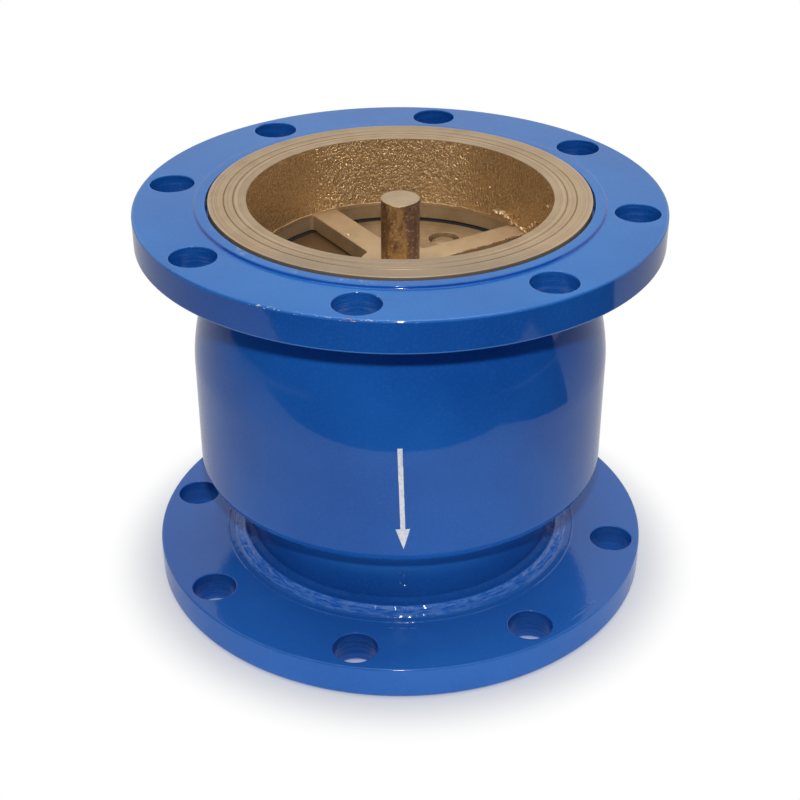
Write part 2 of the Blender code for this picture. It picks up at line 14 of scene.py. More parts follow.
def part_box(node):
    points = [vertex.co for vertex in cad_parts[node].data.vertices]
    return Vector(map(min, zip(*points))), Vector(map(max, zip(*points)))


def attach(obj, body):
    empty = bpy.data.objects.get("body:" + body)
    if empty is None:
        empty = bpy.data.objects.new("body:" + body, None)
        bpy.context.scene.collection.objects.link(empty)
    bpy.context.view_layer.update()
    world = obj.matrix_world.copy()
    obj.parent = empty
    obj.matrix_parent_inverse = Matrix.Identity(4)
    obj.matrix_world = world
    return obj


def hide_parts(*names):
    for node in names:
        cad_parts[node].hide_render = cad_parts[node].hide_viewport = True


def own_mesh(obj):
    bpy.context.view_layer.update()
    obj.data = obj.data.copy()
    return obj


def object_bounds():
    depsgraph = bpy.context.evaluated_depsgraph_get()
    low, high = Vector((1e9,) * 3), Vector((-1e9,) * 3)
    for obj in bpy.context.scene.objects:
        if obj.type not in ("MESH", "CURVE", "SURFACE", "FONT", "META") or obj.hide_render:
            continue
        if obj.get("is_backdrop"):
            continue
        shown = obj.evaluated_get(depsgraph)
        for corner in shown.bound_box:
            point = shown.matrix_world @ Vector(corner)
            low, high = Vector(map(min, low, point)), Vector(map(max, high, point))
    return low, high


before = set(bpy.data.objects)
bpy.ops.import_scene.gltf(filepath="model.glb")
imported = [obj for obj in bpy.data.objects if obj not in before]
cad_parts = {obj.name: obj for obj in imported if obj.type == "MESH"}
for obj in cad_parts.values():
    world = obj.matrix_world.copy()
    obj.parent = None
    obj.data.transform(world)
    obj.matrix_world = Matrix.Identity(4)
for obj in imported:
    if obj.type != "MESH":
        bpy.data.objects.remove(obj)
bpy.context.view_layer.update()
scene = bpy.context.scene
scene.view_settings.view_transform = "Standard"


def add_object(name, data):
    """An object of a camera, a lamp or a mesh, linked to the scene."""
    item = bpy.data.objects.new(name, data)
    scene.collection.objects.link(item)
    return item


def mesh_object(name, bm, finishes):
    mesh = bpy.data.meshes.new(name)
    bm.to_mesh(mesh)
    bm.free()
    for finish in finishes:
        mesh.materials.append(finish)
    return add_object(name, mesh)


# %% [markdown]
# ## The camera
# The ellipses of the flanges and the spread of the bolt holes give the camera's height and distance. A long
# lens from three quarters of a metre away keeps the upper flange only a little larger than the lower.

# %% Camera
CAMERA_PLACE = (0.0, -0.72404, 0.52083)
CAMERA_TILT = math.radians(59.518)
CAMERA_TURN = -0.0013
LENS_MM = 69.0
SENSOR_MM = 36.0
LENS_SHIFT = -0.0026
lens = bpy.data.cameras.new("photo_camera")
lens.lens = LENS_MM
lens.sensor_width = SENSOR_MM
lens.shift_x = LENS_SHIFT
camera = add_object("photo_camera", lens)
camera.location = CAMERA_PLACE
camera.rotation_euler = (CAMERA_TILT, 0.0, CAMERA_TURN)
scene.camera = camera
print("camera at", CAMERA_PLACE)

# %% [markdown]
# ## Writing shaders as sums
# A finish is a small net of nodes, and a net is hard to read back. So one class wraps an output socket and
# lets it be added, multiplied and raised to a power. Another adds any node from its kind, settings and
# inputs.

# %% Shader writer
class Wire:
    """An output socket that takes part in sums."""

    def __init__(self, recipe, socket):
        self.recipe = recipe
        self.socket = socket

    def math(self, operation, *values):
        return self.recipe.node("Math", dict(enumerate(values)), {"operation": operation})

    def __add__(self, other):
        return self.math("ADD", self, other)

    def __sub__(self, other):
        return self.math("SUBTRACT", self, other)

    def __mul__(self, other):
        return self.math("MULTIPLY", self, other)

    def __pow__(self, other):
        return self.math("POWER", self, other)

    __radd__ = __add__
    __rmul__ = __mul__


class Recipe:
    """The nodes of one finish."""

    def __init__(self, tree):
        self.tree = tree
        tree.nodes.clear()

    def node(self, kind, inputs=None, settings=None, output=0):
        made = self.tree.nodes.new("ShaderNode" + kind)
        for name, value in (settings or {}).items():
            setattr(made, name, value)
        for key, value in (inputs or {}).items():
            if isinstance(value, Wire):
                self.tree.links.new(value.socket, made.inputs[key])
            else:
                made.inputs[key].default_value = value
        return Wire(self, made.outputs[output]) if made.outputs else None

    def place(self):
        """Object coordinates, then x, y and z by themselves."""
        where = self.node("TexCoord", output="Object")
        parts = self.node("SeparateXYZ", {0: where}).socket.node.outputs
        return where, Wire(self, parts[0]), Wire(self, parts[1]), Wire(self, parts[2])

    def stretched(self, where, scale):
        return self.node("Mapping", {"Vector": where, "Scale": scale})

    def noise(self, where, scale, detail=2.0, roughness=0.5):
        sizes = {"Vector": where, "Scale": scale, "Detail": detail, "Roughness": roughness}
        return self.node("TexNoise", sizes)

    def point(self, x, y=0.0, z=0.0):
        return self.node("CombineXYZ", {0: x, 1: y, 2: z})

    def fade(self, value, start, end):
        """0 before start, 1 after end, smooth between them."""
        ends = {"Value": value, "From Min": start, "From Max": end}
        return self.node("MapRange", ends, {"interpolation_type": "SMOOTHSTEP"})

    def tint(self, mask, plain, marked):
        return self.node("Mix", {0: mask, 6: plain, 7: marked}, {"data_type": "RGBA"}, output=2)

    def bump(self, height, strength, depth):
        return self.node("Bump", {"Height": height, "Strength": strength, "Distance": depth})

    def surface(self, sockets):
        shader = self.node("BsdfPrincipled", sockets)
        self.node("OutputMaterial", {"Surface": shader})


def new_recipe(name):
    material = bpy.data.materials.new(name)
    material.use_nodes = True
    return material, Recipe(material.node_tree)


def colour(red, green, blue):
    """Turn a display colour, 0 to 255, into the linear colour that a shader takes."""
    parts = [c / 255 for c in (red, green, blue)]
    return [c / 12.92 if c <= 0.04045 else ((c + 0.055) / 1.055) ** 2.4 for c in parts] + [1.0]


def from_axis(x, y):
    """Distance from the flow axis."""
    return (x * x + y * y) ** 0.5


print("shader writer ready")

# %% [markdown]
# ## A white studio
# The valve stands on white paper under a soft overhead light. A small flash just above the lens lights its
# front, puts bright points on the paint and draws a thin shadow under the upper flange. In front of the
# paper and to its right lie dark cloths, and dark screens stand behind and beside the camera. They show only
# as reflections in the gloss. Close to the valve the paper glows a little, as a light table does, and from
# below it is clear, so that the outlet can be looked at. The room is white to the camera and in reflections,
# and dimmer as a light, so the white background doesn't flood the object.

# %% Paper, cloth and room
ROOM_LIGHT = 0.45
TABLE_GLOW = 0.6
GLOW_FADE = (0.4, 0.2)
SHADOW_FADE = (0.132, 0.17)
FOOT_FADE = (0.1325, 0.1345)
SHADOW_LIFT = 0.25
PAPER_HALF = 6.0
PAPER_Z = -0.0003
WHITE = (1, 1, 1, 1)
DARK_SHEETS = [
    ("front_cloth", (0.1, -0.85, 0.001), 1.2, 0.5, None),
    ("right_cloth", (0.885, -0.19, 0.002), 0.5, 0.18, None),
    ("front_screen", (0.0, -1.4, 0.8), 1.6, 0.8, 0),
    ("left_screen", (-1.6, -0.5, 0.8), 0.9, 0.8, 90),
    ("right_screen", (1.6, -0.7, 0.8), 0.7, 0.8, 90),
]


def paper_finish():
    """White paper that keeps the valve's shadow, fades into the white room and is clear from below."""
    material, r = new_recipe("studio_paper")
    x, y = r.place()[1:3]
    rays = r.node("LightPath").socket.node.outputs
    seen = Wire(r, rays["Is Camera Ray"])
    radius = from_axis(x, y)
    away = r.fade(radius, *SHADOW_FADE)
    outside = r.fade(radius, *FOOT_FADE)
    matt = r.node("BsdfDiffuse", {"Color": colour(236, 236, 236)})
    glow = r.node("Emission", {"Color": WHITE, "Strength": 1.0})
    table = Wire(r, rays["Is Diffuse Ray"]) * r.fade(radius, *GLOW_FADE) * TABLE_GLOW
    lit = r.node("Emission", {"Color": WHITE, "Strength": table})
    matt = r.node("AddShader", {0: matt, 1: lit})
    washed = seen * (SHADOW_LIFT * outside + (1 - SHADOW_LIFT) * away)
    mixed = r.node("MixShader", {0: washed, 1: matt, 2: glow})
    under = r.node("NewGeometry", output="Backfacing")
    clear = r.node("BsdfTransparent")
    mixed = r.node("MixShader", {0: seen * under, 1: mixed, 2: clear})
    r.node("OutputMaterial", {"Surface": mixed})
    return material


def cloth_finish():
    material, r = new_recipe("studio_cloth")
    weave = r.noise(r.place()[0], 300.0, 2.0)
    r.surface({"Base Color": r.tint(weave, colour(34, 36, 40), colour(50, 52, 56)), "Roughness": 0.9})
    return material


def stage_sheet(name, middle, half_x, half_y, finish, facing=None):
    """A flat sheet, or one stood up on its edge and turned to face a compass angle."""
    bm = bmesh.new()
    bmesh.ops.create_grid(bm, x_segments=1, y_segments=1, size=1.0)
    bm.transform(Matrix.Diagonal((half_x, half_y, 1, 1)))
    if facing is not None:
        bm.transform(Matrix.Rotation(math.radians(facing), 4, "Z") @ Matrix.Rotation(math.pi / 2, 4, "X"))
    bm.transform(Matrix.Translation(middle))
    sheet = mesh_object(name, bm, [finish])
    sheet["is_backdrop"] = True
    return sheet


room = bpy.data.worlds.new("studio_room")
room.use_nodes = True
r = Recipe(room.node_tree)
rays = r.node("LightPath").socket.node.outputs
seen = Wire(r, rays["Is Camera Ray"])
for kind in ("Is Glossy Ray", "Is Transmission Ray"):
    seen = seen.math("MAXIMUM", seen, Wire(r, rays[kind]))
level = seen * (1.0 - ROOM_LIGHT) + ROOM_LIGHT
glow = r.node("Background", {"Color": WHITE, "Strength": level})
r.node("OutputWorld", {"Surface": glow})
scene.world = room
stage_sheet("paper", (0, 0, PAPER_Z), PAPER_HALF, PAPER_HALF, paper_finish())
dark = cloth_finish()
for name, middle, half_x, half_y, facing in DARK_SHEETS:
    stage_sheet(name, middle, half_x, half_y, dark, facing).visible_camera = False
print("paper laid, dark sheets:", [sheet[0] for sheet in DARK_SHEETS])


# %% Lamps
def lamp(name, place, target, size, watts):
    light = bpy.data.lights.new(name, "AREA")
    light.shape = "DISK"
    light.size = size
    light.energy = watts
    item = add_object(name, light)
    item.location = place
    item.rotation_euler = (Vector(target) - Vector(place)).to_track_quat("-Z", "Y").to_euler()


lamp("overhead_softbox", place=(0.0, 0.15, 1.7), target=(0, 0, 0.1), size=1.2, watts=10.0)
lamp("camera_flash", place=(0.0, -0.684, 0.599), target=(0, 0, 0.12), size=0.035, watts=2.8)
print("lamps lit:", [light.name for light in bpy.data.lights])

# %% [markdown]
# ## Blue enamel
# The body is brush and spray painted in a mid blue gloss. Close up it has orange peel, a little cloudiness
# and a few specks of dust. Edges that get knocked show chips down to a pale primer. The neck under the barrel
# is painted deep in tone as painted shade and is dull. It is painted a little paler towards the barrel as
# painted light, where the flash's shadow falls. The weld's crown carries a painted reflection with painted
# highlight streaks. One function writes the paint, and its arguments say which marks it has. Each pair of
# tones is the paint's deep and light cloud.

# %% Enamel finishes
# Apart from the body's, these tones are painted light. The side, bore and neck tones are darker as painted
# shade, and the face and foot tones are lighter as painted light. The edge and run tones are lighter as
# painted highlights, and the crown tone and streak are a painted reflection.
BODY_TONES = colour(20, 84, 170), colour(28, 97, 185)
SIDE_SHADE_TONES = colour(16, 77, 162), colour(22, 89, 176)
FACE_LIT_TONES = colour(20, 100, 178), colour(28, 111, 189)
FOOT_LIT_TONES = colour(36, 99, 183), colour(44, 110, 195)
EDGE_HIGHLIGHT_TONES = colour(34, 102, 184), colour(44, 114, 194)
BORE_SHADE_TONES = colour(14, 70, 148), colour(20, 82, 160)
NECK_SHADE_TONES = colour(25, 84, 165), colour(30, 92, 175)
RUN_HIGHLIGHT_TONES = colour(28, 84, 162), colour(62, 114, 186)
CROWN_REFLECTION_TONE = colour(40, 116, 216)
CROWN_HIGHLIGHT_STREAK = colour(136, 184, 242)
ENAMEL_PALE = colour(92, 146, 214)
DUST = colour(150, 168, 196)
SCUFF = colour(168, 188, 212)
PRIMER = colour(214, 208, 196)
RUST = colour(186, 118, 62)
OUTLET_NECK_L = 0.0275
NECK_TOP_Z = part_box("outlet_flange")[1].z + OUTLET_NECK_L
NECK_LIFT_FADE = (NECK_TOP_Z - 0.012, NECK_TOP_Z + 0.002)


def front_left(r, x, y, z):
    """The stretch of the upper flange's edge, in front and on the left, that was knocked most."""
    along = r.fade(x, -0.076, -0.062) * r.fade(x, 0.016, 0.002)
    return along * r.fade(y, -0.10, -0.115) * r.fade(z, 0.2118, 0.2130)


def crown_sheen_masks(r, x, y, z):
    """The lower weld's crown, where a painted reflection lies, and the painted highlight streaks along it."""
    radius = from_axis(x, y)
    crown_sheen = r.fade(radius, 0.0884, 0.0892) * r.fade(radius, 0.0948, 0.0932) * r.fade(z, 0.06, 0.05)
    around = r.point(radius * 900.0, y.math("ARCTAN2", y, x) * 12.0)
    return crown_sheen, crown_sheen * r.fade(r.noise(around, 1.0, 3.0, 0.6), 0.40, 0.60)


def scuff_mask(r, where, x, y, z):
    """Pale scuffs on the raised face, left of the front, where the seat was levered in."""
    radius = from_axis(x, y)
    band = r.fade(radius, 0.0985, 0.0995) * r.fade(radius, 0.1035, 0.102) * r.fade(z, 0.2145, 0.2152)
    side = r.fade(x, 0.0, -0.03) * r.fade(y, -0.02, -0.05)
    return band * side * r.fade(r.noise(where, 160.0, 4.0, 0.7), 0.52, 0.70)


def enamel(name, tones=BODY_TONES, peel_depth=0.00004, gloss=0.05, ior=1.4, chips=False, rings=0.0,
           painted_crown=False, scuffs=False, painted_lift=False):
    """Gloss paint that may have chips, drill rings, a painted reflection on a weld's crown, scuffs, or a
    painted lift that pales the neck towards the barrel.
    """
    material, r = new_recipe(name)
    where, x, y, z = r.place()
    cloud = r.noise(where, 11.0, 3.0)
    paint = r.tint(r.fade(cloud, 0.3, 0.7), *tones)
    fine = r.noise(where, 800.0, 2.0)
    paint = r.tint(r.fade(fine, 0.45, 0.7) * 0.06, paint, ENAMEL_PALE)
    dust = r.fade(r.noise(where, 1500.0, 0.0), 0.87, 0.91)
    paint = r.tint(dust * 0.2, paint, DUST)
    peel = r.noise(where, 330.0, 2.0) + 0.8 * r.noise(where, 75.0, 1.0) + 0.3 * fine
    rough = gloss + 0.06 * cloud + 0.15 * dust
    if chips:
        radius = from_axis(x, y)
        around = r.point(radius * 1500.0, y.math("ARCTAN2", y, x) * 60.0, z * 1500.0)
        patch = r.noise(around, 1.0, 2.0, 0.6) + 0.4 * r.noise(where, 60.0, 1.0)
        bare = r.fade(patch + 0.135 * front_left(r, x, y, z), 0.975, 1.0)
        primer = r.tint(r.fade(r.noise(where, 260.0, 1.0), 0.58, 0.66), PRIMER, RUST)
        paint = r.tint(bare, paint, primer)
        rough = rough + 0.4 * bare
        peel = peel - 1.5 * bare
    if rings:
        drill = r.noise(r.stretched(where, (40.0, 40.0, 800.0)), 1.0, 1.0)
        peel = peel + rings * drill
        paint = r.tint(r.fade(drill, 0.45, 0.62) * 0.35, paint, EDGE_HIGHLIGHT_TONES[0])
    # A painted reflection along the weld's crown, with painted highlight streaks.
    if painted_crown:
        crown_sheen, highlight_streaks = crown_sheen_masks(r, x, y, z)
        paint = r.tint(0.7 * crown_sheen, paint, CROWN_REFLECTION_TONE)
        paint = r.tint(0.4 * highlight_streaks, paint, CROWN_HIGHLIGHT_STREAK)
    # Painted light: the neck is painted paler towards the barrel, softening the flash's shadow under the
    # knuckle.
    if painted_lift:
        paint = r.tint(0.9 * r.fade(z, *NECK_LIFT_FADE), paint, EDGE_HIGHLIGHT_TONES[1])
    if scuffs:
        paint = r.tint(0.35 * scuff_mask(r, where, x, y, z), paint, SCUFF)
    normal = r.bump(peel, 0.5, peel_depth)
    r.surface({"Base Color": paint, "Roughness": rough, "Normal": normal, "IOR": ior})
    return material


body_enamel = enamel("body_enamel")
shaded_neck_enamel = enamel("shaded_neck_enamel", NECK_SHADE_TONES, gloss=0.12, ior=1.15, painted_lift=True)
shaded_side_enamel = enamel("shaded_side_enamel", SIDE_SHADE_TONES)
lit_face_enamel = enamel("lit_face_enamel", FACE_LIT_TONES, peel_depth=0.00014, gloss=0.12, ior=1.3, scuffs=True)
lit_foot_enamel = enamel("lit_foot_enamel", FOOT_LIT_TONES, peel_depth=0.00012, gloss=0.07)
edge_highlight_enamel = enamel("edge_highlight_enamel", EDGE_HIGHLIGHT_TONES, chips=True)
shaded_bore_enamel = enamel("shaded_bore_enamel", BORE_SHADE_TONES, rings=12.0, gloss=0.12)
run_highlight_enamel = enamel("run_highlight_enamel", RUN_HIGHLIGHT_TONES)
weld_enamel = enamel("weld_enamel", FOOT_LIT_TONES, peel_depth=0.0003, gloss=0.08, painted_crown=True)
print("enamels:", [m.name for m in bpy.data.materials if m.name.endswith("enamel")])

# %% [markdown]
# ## Bronze
# The seat cage is a sand casting. Its bowl keeps the coarse skin of the mould, with grains that catch the
# light one by one, coarsest at the back, where golden glints are also painted on the grains. Its rim is faced
# on a lathe and carries fine rings, and its spider is milled flat. The same alloy makes all three, so one
# function writes it and only the marks differ.

# %% Bronze finishes
BRONZE = colour(174, 151, 119)
BRONZE_DULL = colour(132, 106, 76)
BRONZE_PALE = colour(200, 172, 135)
BRONZE_GLINT = colour(242, 206, 142)
BRONZE_PIT = colour(104, 78, 50)
BRONZE_FRONT_TONE = colour(138, 120, 100)
CAST_TONE = colour(218, 187, 141)
COARSE_X = -0.006


def bronze(name, tone=BRONZE, grain=0.0, rings=0.0, swirl=0.0, stain_and_shade=0.0, front_right_tone=0.0, shine=0.45, tarnish=0.4,
           metallic=0.75):
    """Bronze with casting grain and painted glints, lathe rings, milling swirl, a stain with painted shade on
    the left, or a tone darker in front and paler on the right.
    """
    material, r = new_recipe(name)
    where, x, y = r.place()[:3]
    cloud = r.noise(where, 60.0, 4.0, 0.6)
    metal = r.tint(r.fade(cloud, 0.35, 0.75) * tarnish, tone, BRONZE_DULL)
    height = 0.25 * r.noise(where, 1500.0, 2.0)
    rough = shine + 0.16 * (cloud - 0.5)
    if grain:
        sand = r.noise(r.stretched(where, (900.0, 900.0, 640.0)), 1.0, 2.0, 0.6)
        off_centre = (x - COARSE_X) * (x - COARSE_X)
        coarse = 0.72 + 0.62 * r.fade(off_centre, 0.0022, 0.0004) * r.fade(y, 0.02, 0.05)
        height = height + grain * coarse * (sand + 0.3 * r.noise(where, 380.0, 2.0))
        pit_and_glint_share = min(1.0, grain / 4)
        metal = r.tint(r.fade(sand, 0.50, 0.36) * (0.3 * pit_and_glint_share), metal, BRONZE_PIT)
        # Painted glints: golden flecks on the grains, strongest where the grain is coarse.
        metal = r.tint(r.fade(sand, 0.57, 0.69) * coarse * (0.6 * pit_and_glint_share), metal, BRONZE_GLINT)
    if rings:
        radius = from_axis(x, y)
        ring = r.noise(r.point(radius * 1300.0), 1.0, 3.0, 0.7)
        height = height + rings * ring
        metal = r.tint(r.fade(ring, 0.45, 0.62) * 0.55, metal, BRONZE_DULL)
        band = r.noise(r.point(radius * 560.0), 1.0, 2.0, 0.6)
        metal = r.tint(r.fade(band, 0.50, 0.66) * (0.8 * rings), metal, BRONZE_DULL)
        metal = r.tint(r.fade(band, 0.46, 0.32) * (0.9 * rings), metal, BRONZE_PALE)
    if swirl:
        height = height + swirl * r.noise(r.stretched(where, (160.0, 2600.0, 160.0)), 1.0, 2.0)
    # Darker towards the front and paler on the right.
    if front_right_tone:
        metal = r.tint(r.fade(y, -0.06, -0.085) * front_right_tone, metal, BRONZE_FRONT_TONE)
        metal = r.tint(r.fade(x, 0.05, 0.09) * (0.4 * front_right_tone), metal, BRONZE_PALE)
    # Darker on the left: partly a stain, partly painted shade beside the arm.
    if stain_and_shade:
        left = r.fade(x + 0.02 * (r.noise(where, 45.0, 3.0) - 0.5), -0.014, -0.034)
        metal = r.tint(left * stain_and_shade, metal, BRONZE_PIT)
    normal = r.bump(height, 0.8, 0.00028)
    r.surface({"Base Color": metal, "Metallic": metallic, "Roughness": rough, "Normal": normal})
    return material


cast_bronze = bronze("cast_bronze", CAST_TONE, grain=6.5, shine=0.25, tarnish=0.15, metallic=0.8)
turned_bronze = bronze("turned_bronze", rings=0.8, front_right_tone=0.6, shine=0.48, metallic=0.5)
milled_bronze = bronze("milled_bronze", BRONZE_PALE, swirl=0.25, shine=0.5, tarnish=0.3, metallic=0.5)
print("bronzes:", cast_bronze.name, turned_bronze.name, milled_bronze.name)

# %% [markdown]
# ## Bar, rubber, iron and steel
# The stem is drawn bronze bar gone brown, streaked along its length. The seal is black rubber and the gasket
# grey fibre. The outlet guide is iron under a dull coating. The spring, the washer and the nuts are
# stainless steel. Apart from the bar, each is one tone that wears into another, so one function writes them
# all.

# %% Other finishes
# Name, tone, worn tone, metallic, roughness, and the scale and depth of the grain
PLAIN_FINISHES = [
    ("seal_rubber", (14, 14, 15), (26, 25, 24), 0.0, 0.8, 900.0, 0.00005),
    ("gasket_fibre", (84, 88, 88), (112, 112, 106), 0.0, 0.8, 700.0, 0.0001),
    ("coated_iron", (62, 66, 70), (84, 86, 86), 0.2, 0.48, 380.0, 0.00014),
    ("stainless_wire", (186, 186, 184), (150, 150, 150), 1.0, 0.28, 800.0, 0.00003),
    ("stainless_steel", (176, 172, 160), (138, 130, 114), 1.0, 0.34, 600.0, 0.00004),
    ("arrow_paint", (244, 246, 248), (206, 216, 228), 0.0, 0.5, 420.0, 0.00006),
]


def bronze_bar_finish():
    material, r = new_recipe("bronze_bar")
    where, x, _, z = r.place()
    mottle = r.noise(r.stretched(where, (230.0, 230.0, 120.0)), 1.0, 4.0, 0.65)
    spots = r.noise(where, 700.0, 2.0, 0.6)
    wander = 0.010 * (r.noise(where, 70.0, 2.0) - 0.5)
    above = r.fade(z, 0.172, 0.18)
    metal = r.tint(r.fade(mottle, 0.36, 0.64), colour(196, 156, 106), colour(140, 106, 76))
    # Painted shade darkens the stem's left side and a painted grey reflection tints its right, on its upper
    # part; the golden spots are painted glints.
    metal = r.tint(r.fade(x + wander, -0.004, -0.009) * above * 0.6, metal, colour(112, 80, 50))
    metal = r.tint(r.fade(x + wander, 0.001, 0.005) * above * 0.75, metal, colour(124, 104, 102))
    metal = r.tint(r.fade(spots, 0.58, 0.70) * 0.7, metal, BRONZE_GLINT)
    metal = r.tint(r.fade(spots, 0.42, 0.32) * 0.6, metal, colour(84, 60, 42))
    normal = r.bump(0.6 * mottle + 1.2 * spots, 0.6, 0.00018)
    r.surface({"Base Color": metal, "Metallic": 0.6, "Roughness": 0.32 + 0.2 * mottle, "Normal": normal})
    return material


def plain_finish(name, tone, worn, metallic, shine, scale, depth):
    material, r = new_recipe(name)
    where = r.place()[0]
    fine = r.noise(where, scale, 3.0)
    cloud = r.noise(where, 40.0, 3.0)
    tone = r.tint(r.fade(fine + 0.6 * cloud, 0.65, 1.05), colour(*tone), colour(*worn))
    normal = r.bump(fine, 0.5, depth)
    r.surface({"Base Color": tone, "Metallic": metallic, "Roughness": shine + 0.14 * (cloud - 0.5),
               "Normal": normal})
    return material


finish_of = {"bronze_bar": bronze_bar_finish()}
for row in PLAIN_FINISHES:
    finish_of[row[0]] = plain_finish(*row)
print("other finishes:", *finish_of)

# %% [markdown]
# ## Turning on a lathe
# Most pieces are bodies of revolution. A half section is drawn as a few corners, each with its own rounding,
# the corners are bevelled into arcs, and the section is spun about the flow axis. Where the solid's own
# section is right, it is cut from a copy of the solid with one plane instead of being drawn again.

# %% Mesh helpers
MERGE_GAP = 1e-6
SAME_PLACE = 1e-5
CLOSE_BY = 1e-4


def everything(bm):
    return bm.verts[:] + bm.edges[:] + bm.faces[:]


def only_verts(geom):
    return [v for v in geom if isinstance(v, bmesh.types.BMVert)]


def merge(bm, gap=MERGE_GAP):
    bmesh.ops.remove_doubles(bm, verts=bm.verts[:], dist=gap)


def face_out(bm):
    bmesh.ops.recalc_face_normals(bm, faces=bm.faces[:])


def cut(bm, place, way, **clear):
    """Cut everything with a plane. clear_inner and clear_outer drop what lies on one side of it."""
    bmesh.ops.bisect_plane(bm, geom=everything(bm), dist=MERGE_GAP, plane_co=place, plane_no=way, **clear)


def sweep(bm, geom, angle, steps, rise=0.0, **how):
    """Turn points, edges or faces about the flow axis, lifting them a little with each step."""
    return bmesh.ops.spin(bm, geom=geom, cent=(0, 0, 0), axis=(0, 0, 1), dvec=(0, 0, rise), angle=angle,
                          steps=steps, **how)["geom_last"]


def round_corner(bm, vert, offset, segments):
    bmesh.ops.bevel(bm, geom=[vert], offset=offset, offset_type="OFFSET", segments=segments, profile=0.5,
                    affect="VERTICES", material=-1, clamp_overlap=False)


def sharp_edges(bm, sharper_than=30.0):
    return [e for e in bm.edges if e.is_manifold and e.calc_face_angle() > math.radians(sharper_than)]


def round_edges(bm, edges, width, segments=2):
    made = bmesh.ops.bevel(bm, geom=edges, offset=width, offset_type="OFFSET", segments=segments, profile=0.5,
                           affect="EDGES", material=-1, clamp_overlap=True)
    return made["faces"]


def turn_about_axis(bm, degrees):
    bm.transform(Matrix.Rotation(math.radians(degrees), 4, "Z"))


def at_angle(degrees, out, z):
    """The place at an angle round the axis, a distance out from it and a height."""
    return Matrix.Rotation(math.radians(degrees), 4, "Z") @ Matrix.Translation((out, 0, z))


print("mesh helpers ready")


# %% Lathe
def draw_section(corners, closed=True, segments=6):
    """A half section in the XZ plane from corners of (radius, height, rounding)."""
    bm = bmesh.new()
    verts = [bm.verts.new((corner[0], 0.0, corner[1])) for corner in corners]
    pairs = list(zip(verts, verts[1:])) + ([(verts[-1], verts[0])] if closed else [])
    for pair in pairs:
        bm.edges.new(pair)
    for vert, corner in zip(verts, corners):
        if len(corner) > 2:
            ways = [(edge.other_vert(vert).co - vert.co).normalized() for edge in vert.link_edges]
            turn = math.pi - ways[0].angle(ways[1])
            round_corner(bm, vert, corner[2] * math.tan(turn / 2), segments)
    return bm


def cut_section(node):
    """The half section of a turned solid, from a merged copy cut by the plane through its axis."""
    bm = bmesh.new()
    bm.from_mesh(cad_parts[node].data)
    merge(bm)
    cut(bm, (0, 0, 0), (0, 1, 0), clear_inner=True, clear_outer=True)
    bmesh.ops.delete(bm, geom=[v for v in bm.verts if v.co.x < -MERGE_GAP], context="VERTS")
    return bm


def spin(bm, steps):
    """A body of revolution from a half section, without the edges that lie on the axis."""
    on_axis = [e for e in bm.edges if max(abs(v.co.x) for v in e.verts) < MERGE_GAP]
    bmesh.ops.delete(bm, geom=on_axis, context="EDGES")
    sweep(bm, bm.verts[:] + bm.edges[:], math.tau, steps, use_merge=True)
    merge(bm)
    face_out(bm)
    return bm


def level_radius(node, height):
    """The widest radius of a solid at one height."""
    near = [v.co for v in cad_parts[node].data.vertices if abs(v.co.z - height) < SAME_PLACE]
    return max(co.xy.length for co in near)


print("lathe ready")

# %% Pieces
SMOOTH_ANGLE = math.radians(40)


def piece(name, bm, finishes, body, slot, *stands_for):
    """Turn a bmesh into a piece that rides on a body and stands for some solids."""
    item = mesh_object(name, bm, finishes)
    item.data.shade_smooth()
    item.data.set_sharp_from_angle(angle=SMOOTH_ANGLE)
    item.modifiers.new("even_normals", "WEIGHTED_NORMAL").keep_sharp = True
    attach(item, body)
    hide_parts(*stands_for)
    print(name, "faces:", len(item.data.polygons))
    return item


print("piece maker ready")

# %% [markdown]
# ## The barrel
# The barrel is a pipe whose upper end closes in slowly, like a dome, and whose lower end turns in sharply,
# and each end runs through a fillet into its neck. The tangents of those arcs meet in corners, so the skin is
# drawn as corners with roundings, spun, and thickened inwards. The lower neck and its fillet take the neck
# paint, which is darker as painted shade and paler towards the barrel as painted light.

# %% Barrel
BARREL_WALL = 0.0063
KNUCKLE_R = 0.010
KNUCKLE_FILLET_R = 0.016
DOME_R = 0.111
DOME_FILLET_R = 0.010
INLET_NECK_L = 0.0063
BARREL_STEPS = 240
barrel_low, barrel_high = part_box("barrel_shell")
inlet_low, inlet_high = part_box("inlet_flange")
outlet_low, outlet_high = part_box("outlet_flange")
BARREL_R = barrel_high.x
OUTLET_NECK_R = level_radius("barrel_shell", barrel_low.z)
INLET_NECK_R = level_radius("barrel_shell", barrel_high.z)


def shoulder_corners(neck_r, fillet_r, round_r, neck_end_z, side):
    """Where the tangents of one shoulder's two arcs meet: on the neck, then on the barrel."""
    across = neck_r + fillet_r - (BARREL_R - round_r)
    along = math.sqrt((round_r + fillet_r) ** 2 - across ** 2)
    half_lean = math.tan(math.atan2(along, across) / 2)
    on_neck = (neck_r, neck_end_z - side * fillet_r * half_lean, fillet_r)
    on_barrel = (BARREL_R, neck_end_z - side * (along - round_r * half_lean), round_r)
    return [on_neck, on_barrel]


